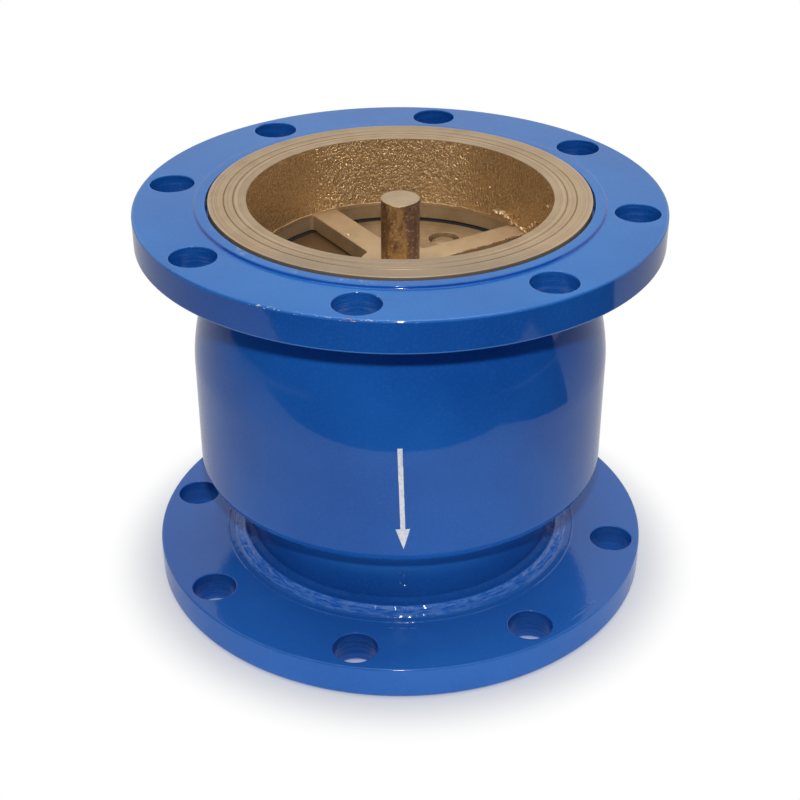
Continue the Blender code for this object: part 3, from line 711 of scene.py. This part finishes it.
skin = [(OUTLET_NECK_R, barrel_low.z)]
skin += shoulder_corners(OUTLET_NECK_R, KNUCKLE_FILLET_R, KNUCKLE_R, NECK_TOP_Z, -1)
skin += shoulder_corners(INLET_NECK_R, DOME_FILLET_R, DOME_R, inlet_low.z - INLET_NECK_L, 1)[::-1]
skin += [(INLET_NECK_R, barrel_high.z)]
bm = spin(draw_section(skin, closed=False, segments=14), BARREL_STEPS)
middles = [(f.normal, f.calc_center_median()) for f in bm.faces]
if sum(normal.dot(Vector((middle.x, middle.y, 0))) for normal, middle in middles) < 0:
    bmesh.ops.reverse_faces(bm, faces=bm.faces[:])
bmesh.ops.solidify(bm, geom=bm.faces[:], thickness=BARREL_WALL)
# The lower neck and its fillet take the neck paint with its painted shade.
for f in bm.faces:
    f.material_index = 1 if f.calc_center_median().z < NECK_TOP_Z + KNUCKLE_FILLET_R else 0
piece("domed_barrel", bm, [body_enamel, shaded_neck_enamel], "housing", "body_enamel", "barrel_shell")

# %% [markdown]
# ## The drilled flanges
# A flange is a plate with eight bolt holes. One eighth of its face is a ring sector with a round hole: two
# arcs swept from single vertices, two straight sides, a circle, and one bridge between them. Eight turned
# copies make the face and one extrusion makes the plate. The raised face and the recess inside it are the
# solid's own section, spun. Sides, edges, hole walls and faces each take their own tone of the paint as
# painted light. The upper flange's sides and raised-face step, and all hole walls, are darker as painted
# shade. The upper flange's edges are lighter as a painted highlight and its faces are lighter as painted
# light. The whole lower flange is lighter as painted light.

# %% Ring faces
INNER_STEPS = 96
OUTER_STEPS = 192


def swept_arc(bm, radius, half_angle, steps):
    first = bm.verts.new((radius * math.cos(half_angle), -radius * math.sin(half_angle), 0.0))
    return first, only_verts(sweep(bm, [first], 2 * half_angle, steps))[0]


def ring_face(count, inner_r, outer_r, add_hole):
    """A flat ring made of equal sectors with one hole in each. add_hole draws a sector's hole."""
    bm = bmesh.new()
    half_angle = math.pi / count
    inner = swept_arc(bm, inner_r, half_angle, INNER_STEPS // count)
    outer = swept_arc(bm, outer_r, half_angle, OUTER_STEPS // count)
    sides = [bm.edges.new(pair) for pair in zip(inner, outer)]
    bmesh.ops.subdivide_edges(bm, edges=sides, cuts=5)
    add_hole(bm)
    bmesh.ops.bridge_loops(bm, edges=bm.edges[:])
    sweep(bm, everything(bm), math.tau - 2 * half_angle, count - 1, use_duplicate=True)
    merge(bm)
    return bm


def thicken(bm, low, high):
    """Lift a flat face to one height and extrude it to another."""
    bm.transform(Matrix.Translation((0, 0, low)))
    grown = bmesh.ops.extrude_face_region(bm, geom=bm.faces[:])["geom"]
    bmesh.ops.translate(bm, verts=only_verts(grown), vec=(0, 0, high - low))
    face_out(bm)


def round_hole(bm, circle_r, hole_r):
    bmesh.ops.create_circle(bm, cap_ends=False, radius=hole_r, segments=48, matrix=at_angle(0, circle_r, 0))


print("ring faces ready")

# %% Flange helper
FACE_STEP = 0.0015
BOLT_CIRCLE_R = 0.120
BOLT_HOLE_R = 0.0115
BOLT_COUNT = 8
RIM_ROUND = 0.0012
HOLE_ROUND = 0.0006
STEP_ROUND = 0.0007
RECESS_GAP = 0.0009
SIDE, EDGE, BORE, FACE = range(4)


def is_flat(face):
    return abs(face.normal.z) > 0.5


def is_wall(part, radius):
    """Whether a face or an edge lies all at one radius."""
    return all(abs(v.co.xy.length - radius) < SAME_PLACE for v in part.verts)


def flange(name, node, plate_low, plate_high, face_z, bolt_angle, finishes, recess_r=None):
    rim_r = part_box(node)[1].x
    face_r = level_radius(node, face_z)
    bm = ring_face(BOLT_COUNT, face_r, rim_r, lambda bm: round_hole(bm, BOLT_CIRCLE_R, BOLT_HOLE_R))
    thicken(bm, plate_low, plate_high)
    bmesh.ops.delete(bm, geom=[f for f in bm.faces if is_wall(f, face_r)], context="FACES")
    centre = cut_section(node)
    cut(centre, (face_r, 0, 0), (1, 0, 0), clear_outer=True)
    for v in centre.verts:
        if recess_r and abs(v.co.x - recess_r) < CLOSE_BY:
            v.co.x += RECESS_GAP
    spare = bpy.data.meshes.new("flange_centre")
    spin(centre, INNER_STEPS).to_mesh(spare)
    centre.free()
    bm.from_mesh(spare)
    bpy.data.meshes.remove(spare)
    merge(bm, SAME_PLACE)
    face_out(bm)
    for f in bm.faces:
        middle = f.calc_center_median()
        in_hole = face_r < middle.xy.length < rim_r - RIM_ROUND
        f.material_index = FACE if is_flat(f) else BORE if in_hole else SIDE
    sharp = sharp_edges(bm)
    outer = [e for e in sharp if min(v.co.xy.length for v in e.verts) > rim_r - CLOSE_BY]
    step = [e for e in sharp if is_wall(e, face_r)]
    others = [e for e in sharp if e not in set(outer + step)]
    # The step's round takes the side paint and the other rounds take the edge paint; on the upper flange
    # these are painted shade and a painted highlight.
    jobs = [(outer, RIM_ROUND, 4, EDGE), (step, STEP_ROUND, 3, SIDE), (others, HOLE_ROUND, 2, EDGE)]
    for edges, width, segments, finish in jobs:
        for f in round_edges(bm, edges, width, segments):
            f.material_index = finish
    turn_about_axis(bm, bolt_angle)
    piece(name, bm, finishes, "housing", "body_enamel", node)


print("flange helper ready")

# %% Both flanges
INLET_BOLT_ANGLE = -9.2
OUTLET_BOLT_ANGLE = -11.0
RECESS_CLEARANCE = 0.0003
recess_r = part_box("seat")[1].x + RECESS_CLEARANCE
flange("inlet_flange_plate", "inlet_flange", inlet_low.z, inlet_high.z - FACE_STEP, inlet_high.z,
       INLET_BOLT_ANGLE, [shaded_side_enamel, edge_highlight_enamel, shaded_bore_enamel, lit_face_enamel], recess_r)
# The lower flange is all in the lighter foot paint, which is painted light.
flange("outlet_flange_plate", "outlet_flange", outlet_low.z + FACE_STEP, outlet_high.z, outlet_low.z,
       OUTLET_BOLT_ANGLE, [lit_foot_enamel, lit_foot_enamel, shaded_bore_enamel, lit_foot_enamel])

# %% [markdown]
# ## The weld beads
# Each neck is welded into its flange by hand and then ground and painted over. What is left is a low round
# crown, a shallow valley and a thin ridge of paint at the toe. The section is spun in many steps, and each
# point is then pushed out and in: a faint ripple from the electrode, lumps where it paused, and slow wander.

# %% Welds
RIPPLE_COUNT = 150
RIPPLE_DEPTH = 0.00005
LUMP_DEPTH = 0.0004
WANDER_DEPTH = 0.0003
PORE_DEPTH = 0.00006
CREST_H = 0.002
SLANT = 0.7
BURIED = 0.0002
BEAD_STEPS = 720
BEAD_SECTION = [
    (-0.0008, -0.0008), (-0.0008, 0.0062), (0.0002, 0.0056, 0.0010), (0.0022, 0.0040, 0.0030),
    (0.0046, 0.0036, 0.0010), (0.0060, 0.0020, 0.0006), (0.0096, 0.0017, 0.0008), (0.0107, 0.0004, 0.0006),
    (0.0120, 0.0003, 0.0010), (0.0132, 0.0003, 0.0006), (0.0139, 0.0008, 0.0004), (0.0148, -0.0004),
]
INNER_SHARE = 0.0042


def weld(name, node, neck_r, plate_z, side):
    corners = [(neck_r + corner[0], side * corner[1]) + corner[2:] for corner in BEAD_SECTION]
    bm = spin(draw_section(corners, segments=4), BEAD_STEPS)
    for v in bm.verts:
        angle = math.atan2(v.co.y, v.co.x)
        out = v.co.xy.length
        share = min(1.0, abs(v.co.z) / CREST_H)
        wander = noise.noise(Vector((3.1 * math.cos(angle), 3.1 * math.sin(angle), 4.0 * side)))
        lump = noise.noise(Vector((14 * math.cos(angle), 14 * math.sin(angle), 220 * (out - neck_r))))
        beat = math.sin(RIPPLE_COUNT * angle + 3.0 * wander + 260 * (out - neck_r))
        push = share * (RIPPLE_DEPTH * beat + LUMP_DEPTH * lump)
        push += WANDER_DEPTH * wander + PORE_DEPTH * noise.noise(v.co * 420)
        if v.co.z * side > -BURIED and out > neck_r + BURIED:
            v.co += SLANT * push * Vector((math.cos(angle), math.sin(angle), side))
    bm.transform(Matrix.Translation((0, 0, plate_z)))
    face_out(bm)
    # The bead's inner part, against the neck, takes the neck paint with its painted shade.
    for f in bm.faces:
        f.material_index = 1 if f.calc_center_median().xy.length < neck_r + INNER_SHARE else 0
    piece(name, bm, [weld_enamel, shaded_neck_enamel], "housing", "weld_enamel", node)


weld("outlet_weld_ripples", "outlet_weld_bead", OUTLET_NECK_R, outlet_high.z, 1)
weld("inlet_weld_ripples", "inlet_weld_bead", INLET_NECK_R, inlet_low.z, -1)

# %% [markdown]
# ## Runs in the paint
# Under the flow arrow the paint has run a little on the neck and dried in small beads. Each is a ball,
# flattened and drawn out downwards, half sunk in the neck. On the foot's right, paint has sagged into a long
# low bead beside the edge, so one longer ball is flattened there and bent round the rim. A few nibs stand in
# front of the weld.

# %% Paint runs and nibs
RUNS = [(-90.4, 40.2, 1.2, 1.6), (-88.9, 37.8, 1.0, 2.0), (-86.8, 39.4, 1.3, 1.2), (-90.1, 33.6, 1.0, 1.2),
        (-88.5, 31.6, 1.5, 1.3)]
NIBS = [(-92.8, 102.1, 2.2), (-89.5, 102.4, 2.8), (-86.4, 102.6, 2.0)]
RUN_THICK = 0.7
NIB_WIDE = 0.7
NIB_TALL = 0.55
MM = 0.001


def add_ball(bm, spot, radii, subdivisions):
    """A ball of one millimetre, stretched and put in its place."""
    bmesh.ops.create_icosphere(bm, subdivisions=subdivisions, radius=MM,
                               matrix=spot @ Matrix.Diagonal((*radii, 1.0)))


bm = bmesh.new()
for degrees, z_mm, wide, tall in RUNS:
    add_ball(bm, at_angle(degrees, OUTLET_NECK_R, z_mm * MM), (RUN_THICK, wide, tall), 3)
# The runs' paler paint is a painted highlight.
piece("paint_runs", bm, [run_highlight_enamel], "housing", "body_enamel")
bm = bmesh.new()
for degrees, out_mm, long in NIBS:
    add_ball(bm, at_angle(degrees, out_mm * MM, outlet_high.z), (NIB_WIDE, long, NIB_TALL), 4)
piece("paint_nibs", bm, [lit_foot_enamel], "housing", "body_enamel")

# %% Paint sag
SAG_R = 0.1300
SAG_ANGLE = math.radians(-42.8)
SAG_RADII = (1.5, 11.5, 0.45)
SAG_WAVER = 0.0004
bm = bmesh.new()
add_ball(bm, Matrix(), SAG_RADII, 4)
for v in bm.verts:
    out = SAG_R + v.co.x + SAG_WAVER * noise.noise(v.co * 300)
    turn = SAG_ANGLE + v.co.y / SAG_R
    v.co = Vector((out * math.cos(turn), out * math.sin(turn), outlet_high.z + v.co.z))
piece("paint_sag", bm, [lit_foot_enamel], "housing", "body_enamel")

# %% [markdown]
# ## The seat's rim and bowl
# The seat drops into the inlet flange and shows a broad turned rim with four gasket grooves. Inside it, the
# bowl keeps the mould's rough skin. The section is drawn with its grooves, the bowl's wall is divided
# finely, and after spinning the wall's points are pushed in and out so that the grains are real and catch
# the light.

# %% Seat ring
SEAT_BODY_R = 0.084
BOWL_R = 0.078
THROAT_R = 0.0776
RIM_T = 0.006
GROOVE_HALF = 0.00035
GROOVES = ((0.0816, 0.0002), (0.0846, 0.0004), (0.0871, 0.0002), (0.0894, 0.0006))
GRAIN_DEPTH = 0.0002
GRAIN_RAMP = 0.0015
SPIDER_DEPTH = 0.0385
BOWL_ROUND = 0.0006
SEAT_ROUND = 0.0005
STEP_IN = 0.0004
STEP_OUT = 0.0002
LONG_EDGE = 0.01
BOWL_CUTS = 46
SEAT_STEPS = 540
seat_low, seat_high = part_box("seat")
SPIDER_TOP_Z = seat_high.z - SPIDER_DEPTH
GRAIN_LOW_Z = SPIDER_TOP_Z - 0.002
RIM_R = seat_high.x


def rim_top():
    points = [(BOWL_R, seat_high.z, BOWL_ROUND)]
    for groove, depth in GROOVES:
        points += [(groove - GROOVE_HALF, seat_high.z), (groove, seat_high.z - depth)]
        points += [(groove + GROOVE_HALF, seat_high.z)]
    return points + [(RIM_R, seat_high.z, SEAT_ROUND)]


def is_bowl_wall(edge):
    above = min(v.co.z for v in edge.verts) > SPIDER_TOP_Z
    inside = max(v.co.x for v in edge.verts) < BOWL_R + SAME_PLACE
    return above and inside and edge.calc_length() > LONG_EDGE


section = draw_section(rim_top() + [
    (RIM_R, seat_high.z - RIM_T, 0.0004), (SEAT_BODY_R, seat_high.z - RIM_T),
    (SEAT_BODY_R, seat_low.z, SEAT_ROUND), (BOWL_R + STEP_IN, seat_low.z),
    (BOWL_R + STEP_IN, SPIDER_TOP_Z - 0.001), (BOWL_R - STEP_OUT, SPIDER_TOP_Z - 0.0005),
    (BOWL_R - STEP_OUT, SPIDER_TOP_Z + 0.001), (BOWL_R, SPIDER_TOP_Z + 0.006, 0.01),
])
bmesh.ops.subdivide_edges(section, edges=[e for e in section.edges if is_bowl_wall(e)], cuts=BOWL_CUTS)
bm = spin(section, SEAT_STEPS)
for v in bm.verts:
    in_bowl = v.co.xy.length < BOWL_R + CLOSE_BY and v.co.z > GRAIN_LOW_Z
    if in_bowl and v.co.z < seat_high.z:
        share = min(1.0, (seat_high.z - v.co.z) / GRAIN_RAMP)
        grain = noise.noise(v.co * 620) + 0.6 * noise.noise(v.co * 1250) + 0.4 * noise.noise(v.co * 200)
        v.co -= Vector((v.co.x, v.co.y, 0)).normalized() * (grain * GRAIN_DEPTH * share)
face_out(bm)
for f in bm.faces:
    middle = f.calc_center_median()
    inside = middle.xy.length < BOWL_R + STEP_IN
    f.material_index = 1 if inside and middle.z < seat_high.z - BOWL_ROUND else 0
piece("seat_ring", bm, [turned_bronze, cast_bronze], "housing", "turned_bronze", "seat")

# %% [markdown]
# ## The seat's spider
# Four milled arms hold a hub in the throat. The spider is a ring face of four sectors, as the flange is of
# eight, and the hole of a sector is a window: two arcs, two sides parallel to the arms, and rounded corners.

# %% Spider
ARM_HALF = 0.00775
HUB_R = 0.0215
STEM_R = 0.010
STEM_GAP = 0.0003
SPIDER_ANGLE = 33.0
WINDOW_CORNER = 0.0021
SPIDER_EDGE = 0.0006
SPIDER_OVERLAP = 0.001


def window(bm):
    """A sector's window. Its middle lies on the sector's own middle, which is +X."""
    ends = []
    for radius, steps in ((HUB_R, 16), (THROAT_R, 40)):
        half_angle = math.pi / 4 - math.asin(ARM_HALF / radius)
        ends.append(swept_arc(bm, radius, half_angle, steps))
    for pair in zip(*ends):
        bm.edges.new(pair)
    for vert in ends[0] + ends[1]:
        round_corner(bm, vert, WINDOW_CORNER, 4)


bm = ring_face(4, STEM_R + STEM_GAP, BOWL_R + SPIDER_OVERLAP, window)
thicken(bm, seat_low.z, SPIDER_TOP_Z)
turn_about_axis(bm, SPIDER_ANGLE + 45)
for f in bm.faces:
    f.material_index = 0 if is_flat(f) else 1
for f in round_edges(bm, sharp_edges(bm), SPIDER_EDGE):
    f.material_index = 1
window_bronze = bronze("window_bronze", grain=0.5, shine=0.46, tarnish=0.5, metallic=0.5)
piece("seat_spider", bm, [milled_bronze, window_bronze], "housing", "cast_bronze")

# %% [markdown]
# ## Flash from the mould
# Where the mould's halves met, a thin ragged lip of metal was left along the windows' upper edge. It climbs
# the wall at the root of one arm, and two arms carry burrs. A thin ring is spun, its upper edge is lifted by
# a bump and by noise, and small balls are stretched and crumpled for the burrs.

# %% Flash
RIDGE_ANGLE = math.radians(43.0)
RIDGE_WIDTH = math.radians(5.0)
RIDGE_HEIGHT = 0.0040
RIDGE_LEAN = 0.010
RAGGED_MEAN = 0.0004
RAGGED_DEPTH = 0.0005
LIP_IN_R = THROAT_R - 0.0003
LIP_OUT_R = BOWL_R + STEP_IN
LIP_LOW_Z = SPIDER_TOP_Z - 0.0010
LIP_HIGH_Z = SPIDER_TOP_Z + 0.0004
LIP_STEPS = 900
CRUMPLE_SEED = 1

# Unless it is given a seed, noise_vector takes one from the clock
noise.seed_set(CRUMPLE_SEED)


def crumple(bm, scale, amount, seed):
    for v in bm.verts:
        v.co += amount * noise.noise_vector(v.co * scale + Vector((seed, 0, 0)))


lip = [(LIP_IN_R, LIP_LOW_Z), (LIP_OUT_R, LIP_LOW_Z), (LIP_OUT_R, LIP_HIGH_Z), (LIP_IN_R, LIP_HIGH_Z, 0.0003)]
bm = spin(draw_section(lip), LIP_STEPS)
for v in bm.verts:
    if v.co.z > SPIDER_TOP_Z:
        angle = math.atan2(v.co.y, v.co.x)
        ragged = noise.noise(v.co * 160) + 0.6 * noise.noise(v.co * 520)
        ridge = RIDGE_HEIGHT * math.exp(-((angle - RIDGE_ANGLE) / RIDGE_WIDTH) ** 2)
        v.co.z += max(0.0, RAGGED_MEAN + RAGGED_DEPTH * ragged) + ridge * (1.0 + 0.35 * ragged)
        v.co.xy *= 1.0 - RIDGE_LEAN * ridge / RIDGE_HEIGHT
crumple(bm, scale=420, amount=0.00025, seed=3.0)
face_out(bm)
flash_bronze = bronze("flash_bronze", BRONZE_PALE, grain=0.8, shine=0.34, tarnish=0.1)
piece("window_flash", bm, [flash_bronze], "housing", "cast_bronze")

# %% Lumps and burrs
LUMPS = [
    ("root_ridge_1", 76.6, 46.6, 4.0, (2.7, 1.7, 1.4), 80),
    ("root_ridge_2", 76.2, 43.2, 4.7, (2.6, 1.9, 1.6), 95),
    ("root_ridge_3", 76.2, 40.0, 3.4, (2.3, 1.7, 1.5), 90),
    ("root_ridge_4", 76.3, 37.3, 1.6, (1.9, 1.4, 1.2), 85),
    ("root_fillet", 76.9, 31.0, 0.6, (4.4, 1.2, 1.3), 90),
    ("wall_grain_1", 77.5, 26.6, 4.0, (1.2, 0.8, 1.1), 90),
    ("wall_grain_2", 77.5, 24.2, 6.6, (1.0, 0.7, 0.9), 90),
    ("wall_grain_3", 77.5, 21.8, 9.0, (1.1, 0.7, 1.0), 90),
    ("wall_fleck", 77.7, 9.6, 25.6, (2.0, 0.6, 0.5), 90),
    ("arm_edge_burr_1", 64.5, 26.1, 0.20, (14.0, 0.60, 0.50), 6.9),
    ("arm_edge_burr_2", 40.7, 22.1, 0.10, (12.0, 0.45, 0.40), 10.9),
    ("arm_burr", 43.7, 129.6, 0.1, (1.5, 0.7, 0.7), 80),
]
for lump, out_mm, degrees, above_mm, radii_mm, turn in LUMPS:
    bm = bmesh.new()
    add_ball(bm, Matrix(), radii_mm, subdivisions=5)
    crumple(bm, scale=700, amount=0.0005, seed=degrees)
    turn_about_axis(bm, turn)
    bm.transform(at_angle(degrees, out_mm * MM, SPIDER_TOP_Z + above_mm * MM))
    piece(lump, bm, [flash_bronze], "housing", "cast_bronze")

# %% [markdown]
# ## The stem
# The stem is a bar, sawn off at the top and notched by the saw in front, so its top edge is uneven. Its
# section comes from the solid. Only the points near the top are pushed about.

# %% Stem
NOTCH_ANGLE = math.radians(-98.0)
NOTCH_WIDTH = math.radians(24.0)
NOTCH_DEPTH = 0.0008
UNEVEN_DEPTH = 0.0005
STEM_CHAMFER = 0.0003
STEM_EDGE = 0.0002
STEM_STEPS = 72
TOP_DEPTH = 0.002
CENTRE_R = 0.004
SAWN_DEPTH = 0.003
stem_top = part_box("stem")[1].z
bm = spin(cut_section("stem"), STEM_STEPS)
for v in bm.verts:
    out = v.co.xy.length
    if v.co.z > stem_top - TOP_DEPTH and out > CENTRE_R:
        notch = math.exp(-((math.atan2(v.co.y, v.co.x) - NOTCH_ANGLE) / NOTCH_WIDTH) ** 2)
        uneven = max(0.0, noise.noise(v.co * 90) + 0.3 * noise.noise(v.co * 260))
        v.co.xy *= max(out, STEM_R - STEM_CHAMFER) / out
        drop = STEM_CHAMFER if out > STEM_R - CLOSE_BY else 0.0
        v.co.z = stem_top - drop - UNEVEN_DEPTH * uneven - NOTCH_DEPTH * notch
round_edges(bm, sharp_edges(bm), STEM_EDGE)
for f in bm.faces:
    near_top = f.calc_center_median().z > stem_top - SAWN_DEPTH
    f.material_index = 1 if near_top and f.normal.z > 0.75 else 0
sawn_bronze = bronze("sawn_bronze", swirl=0.5, shine=0.48, metallic=0.5)
piece("stem_bar", bm, [finish_of["bronze_bar"], sawn_bronze], "disc_assembly", "bronze_bar", "stem")

# %% [markdown]
# ## The disc, its seal and the retainer
# Through the windows one sees the bronze plate that clamps the rubber seal to the disc, with four domed
# screws in round pockets. The turned pieces are the solids' own sections spun with more steps. The plate is
# a ring face of four sectors with a round pocket in each.

# %% Disc, seal and retainer
SCREW_CIRCLE_R = 0.056
POCKET_R = 0.0083
SCREW_ANGLE = 64.5
PLATE_CROWN = 0.0014
PLATE_T = 0.0036
PLATE_OVER = 0.0002
PLATE_EDGE = 0.0005


def turned_copy(name, node, body, slot, finish=None, edge=0.0004, steps=120):
    """A turned solid in more steps. Its finish has the slot's name unless another is given."""
    bm = spin(cut_section(node), steps)
    round_edges(bm, sharp_edges(bm), edge)
    piece(name, bm, [finish or finish_of[slot]], body, slot, node)


turned_copy("disc_body", "disc", "disc_assembly", "cast_bronze", turned_bronze)
turned_copy("seal_ring", "disc_seal", "disc_assembly", "seal_rubber", edge=0.0008)
plate_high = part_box("seal_retainer")[1]
bm = ring_face(4, STEM_R + STEM_GAP, plate_high.x + PLATE_OVER,
               lambda bm: round_hole(bm, SCREW_CIRCLE_R, POCKET_R))
thicken(bm, plate_high.z - PLATE_T, plate_high.z + PLATE_CROWN)
round_edges(bm, sharp_edges(bm), PLATE_EDGE)
turn_about_axis(bm, SCREW_ANGLE)
# The plate is darker on its left: a stain, and painted shade beside the arm.
retainer_bronze = bronze("retainer_bronze", colour(188, 162, 126), rings=0.3, stain_and_shade=0.92, shine=0.46,
                         metallic=0.55)
piece("retainer_plate", bm, [retainer_bronze], "disc_assembly", "cast_bronze", "seal_retainer")

# %% Screws
HEAD_R = 0.007
HEAD_T = 0.0027
HEAD_SIDE = 0.0019
CROWN_R = 0.0045
CROWN_DROP = 0.0005
SHANK_R = 0.004
for number in range(1, 5):
    node = f"retainer_screw_{number}"
    low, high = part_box(node)
    middle = (low + high) / 2
    top = high.z + PLATE_CROWN
    corners = [(0.0, top), (CROWN_R, top - CROWN_DROP, 0.004), (HEAD_R, top - HEAD_SIDE, 0.001),
               (HEAD_R, top - HEAD_T, 0.0003), (SHANK_R, top - HEAD_T), (SHANK_R, low.z + 0.0005, 0.0004),
               (0.0, low.z)]
    bm = spin(draw_section(corners, closed=False), 48)
    bm.transform(Matrix.Translation((middle.x, middle.y, 0)))
    piece(f"domed_screw_{number}", bm, [retainer_bronze], "disc_assembly", "turned_bronze", node)

# %% [markdown]
# ## The spring
# The spring is stainless wire with one closed coil at each end. A circle of wire is spun about the axis while
# each step also lifts it, three times over: a closed coil, the open coils and the last closed coil. In use it
# shortens as the disc lifts.

# %% Spring
WIRE_R = 0.0025
COILS = 7
CLOSED_RISE = 0.0057
COIL_STEPS = 40
WIRE_SIDES = 14
spring_low, spring_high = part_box("spring")
bottom = spring_low.z + WIRE_R
open_rise = spring_high.z - WIRE_R - bottom - 2 * CLOSED_RISE
bm = bmesh.new()
stand = Matrix.Translation((spring_high.x - WIRE_R, 0, bottom)) @ Matrix.Rotation(math.pi / 2, 4, "X")
ring = bmesh.ops.create_circle(bm, cap_ends=False, radius=WIRE_R, segments=WIRE_SIDES, matrix=stand)["verts"]
tip = ring + list({e for v in ring for e in v.link_edges})
for coils, rise in ((1, CLOSED_RISE), (COILS - 2, open_rise), (1, CLOSED_RISE)):
    steps = COIL_STEPS * coils
    tip = sweep(bm, tip, math.tau * coils, steps, rise / steps)
bmesh.ops.holes_fill(bm, edges=[e for e in bm.edges if e.is_boundary], sides=WIRE_SIDES)
face_out(bm)
coil = piece("wound_spring", bm, [finish_of["stainless_wire"]], "housing", "stainless_wire", "spring")
length = spring_high.z - spring_low.z
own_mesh(coil)

# %% [markdown]
# ## Guide, bush, washer and nuts
# The rest shows only from below or with the valve open. Turned pieces are spun from their solids' sections
# again. The guide and the nuts aren't round, so each is a merged copy of its solid with its flat faces
# joined and its edges eased.

# %% Inner pieces
def eased_copy(name, node, body, slot, edge):
    bm = bmesh.new()
    bm.from_mesh(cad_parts[node].data)
    merge(bm)
    bmesh.ops.dissolve_limit(bm, angle_limit=math.radians(1), verts=bm.verts[:], edges=bm.edges[:])
    round_edges(bm, sharp_edges(bm, sharper_than=24.0), edge)
    piece(name, bm, [finish_of[slot]], body, slot, node)


turned_copy("bush_sleeve", "guide_bush", "housing", "bronze_bar", edge=0.0003, steps=64)
turned_copy("clamp_washer", "disc_washer", "disc_assembly", "stainless_steel", edge=0.0003, steps=64)
turned_copy("fibre_gasket", "seat_gasket", "housing", "gasket_fibre", edge=0.0002)
eased_copy("guide_casting", "guide_spider", "housing", "coated_iron", edge=0.0010)
eased_copy("clamp_nut", "stem_nut", "disc_assembly", "stainless_steel", edge=0.0005)
eased_copy("jam_nut", "lock_nut", "disc_assembly", "stainless_steel", edge=0.0005)

# %% [markdown]
# ## The flow arrow
# A white arrow stencilled on the barrel shows which way the water runs. It is a flat outline cut into narrow
# strips, bent onto the barrel and given the thickness of a coat of paint.

# %% Arrow
ARROW_TOP = (-0.00022, 0.1323)
ARROW_TIP = (0.00155, 0.0738)
SHAFT_HALF = 0.0012
HEAD_HALF = 0.0036
HEAD_LENGTH = 0.0119
PAINT_T = 0.00012
STRIP_L = 0.003
STRIPS = 20
RAGGED = 0.00012
length = math.dist(ARROW_TOP, ARROW_TIP)
neck = length - HEAD_LENGTH
outline = [(-SHAFT_HALF, 0), (SHAFT_HALF, 0), (SHAFT_HALF, neck), (HEAD_HALF, neck), (0, length),
           (-HEAD_HALF, neck), (-SHAFT_HALF, neck)]
bm = bmesh.new()
bm.faces.new([bm.verts.new((across, 0, -down)) for across, down in outline])
for k in range(1, STRIPS):
    cut(bm, (0, 0, -STRIP_L * k), (0, 0, 1))
for k in range(-2, 3):
    cut(bm, (SHAFT_HALF * k, 0, 0), (1, 0, 0))
lean = math.atan2(ARROW_TIP[0] - ARROW_TOP[0], ARROW_TOP[1] - ARROW_TIP[1])
bm.transform(Matrix.Rotation(-lean, 4, "Y"))
for v in bm.verts:
    v.co.x += ARROW_TOP[0] + RAGGED * noise.noise(v.co * 700)
    v.co.z += ARROW_TOP[1]
    v.co.y = -math.sqrt((BARREL_R + PAINT_T) ** 2 - v.co.x ** 2)
face_out(bm)
if sum(f.normal.y for f in bm.faces) > 0:
    bmesh.ops.reverse_faces(bm, faces=bm.faces[:])
bmesh.ops.solidify(bm, geom=bm.faces[:], thickness=PAINT_T * 2)
piece("flow_arrow", bm, [finish_of["arrow_paint"]], "housing", "body_enamel")

# %% [markdown]
# ## Sizes
# The overall size of the dressed valve is printed. The dressed valve has to stay inside the solids' box.

# %% Finish
low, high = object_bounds()
print("dressed", [round(1000 * s, 1) for s in high - low])
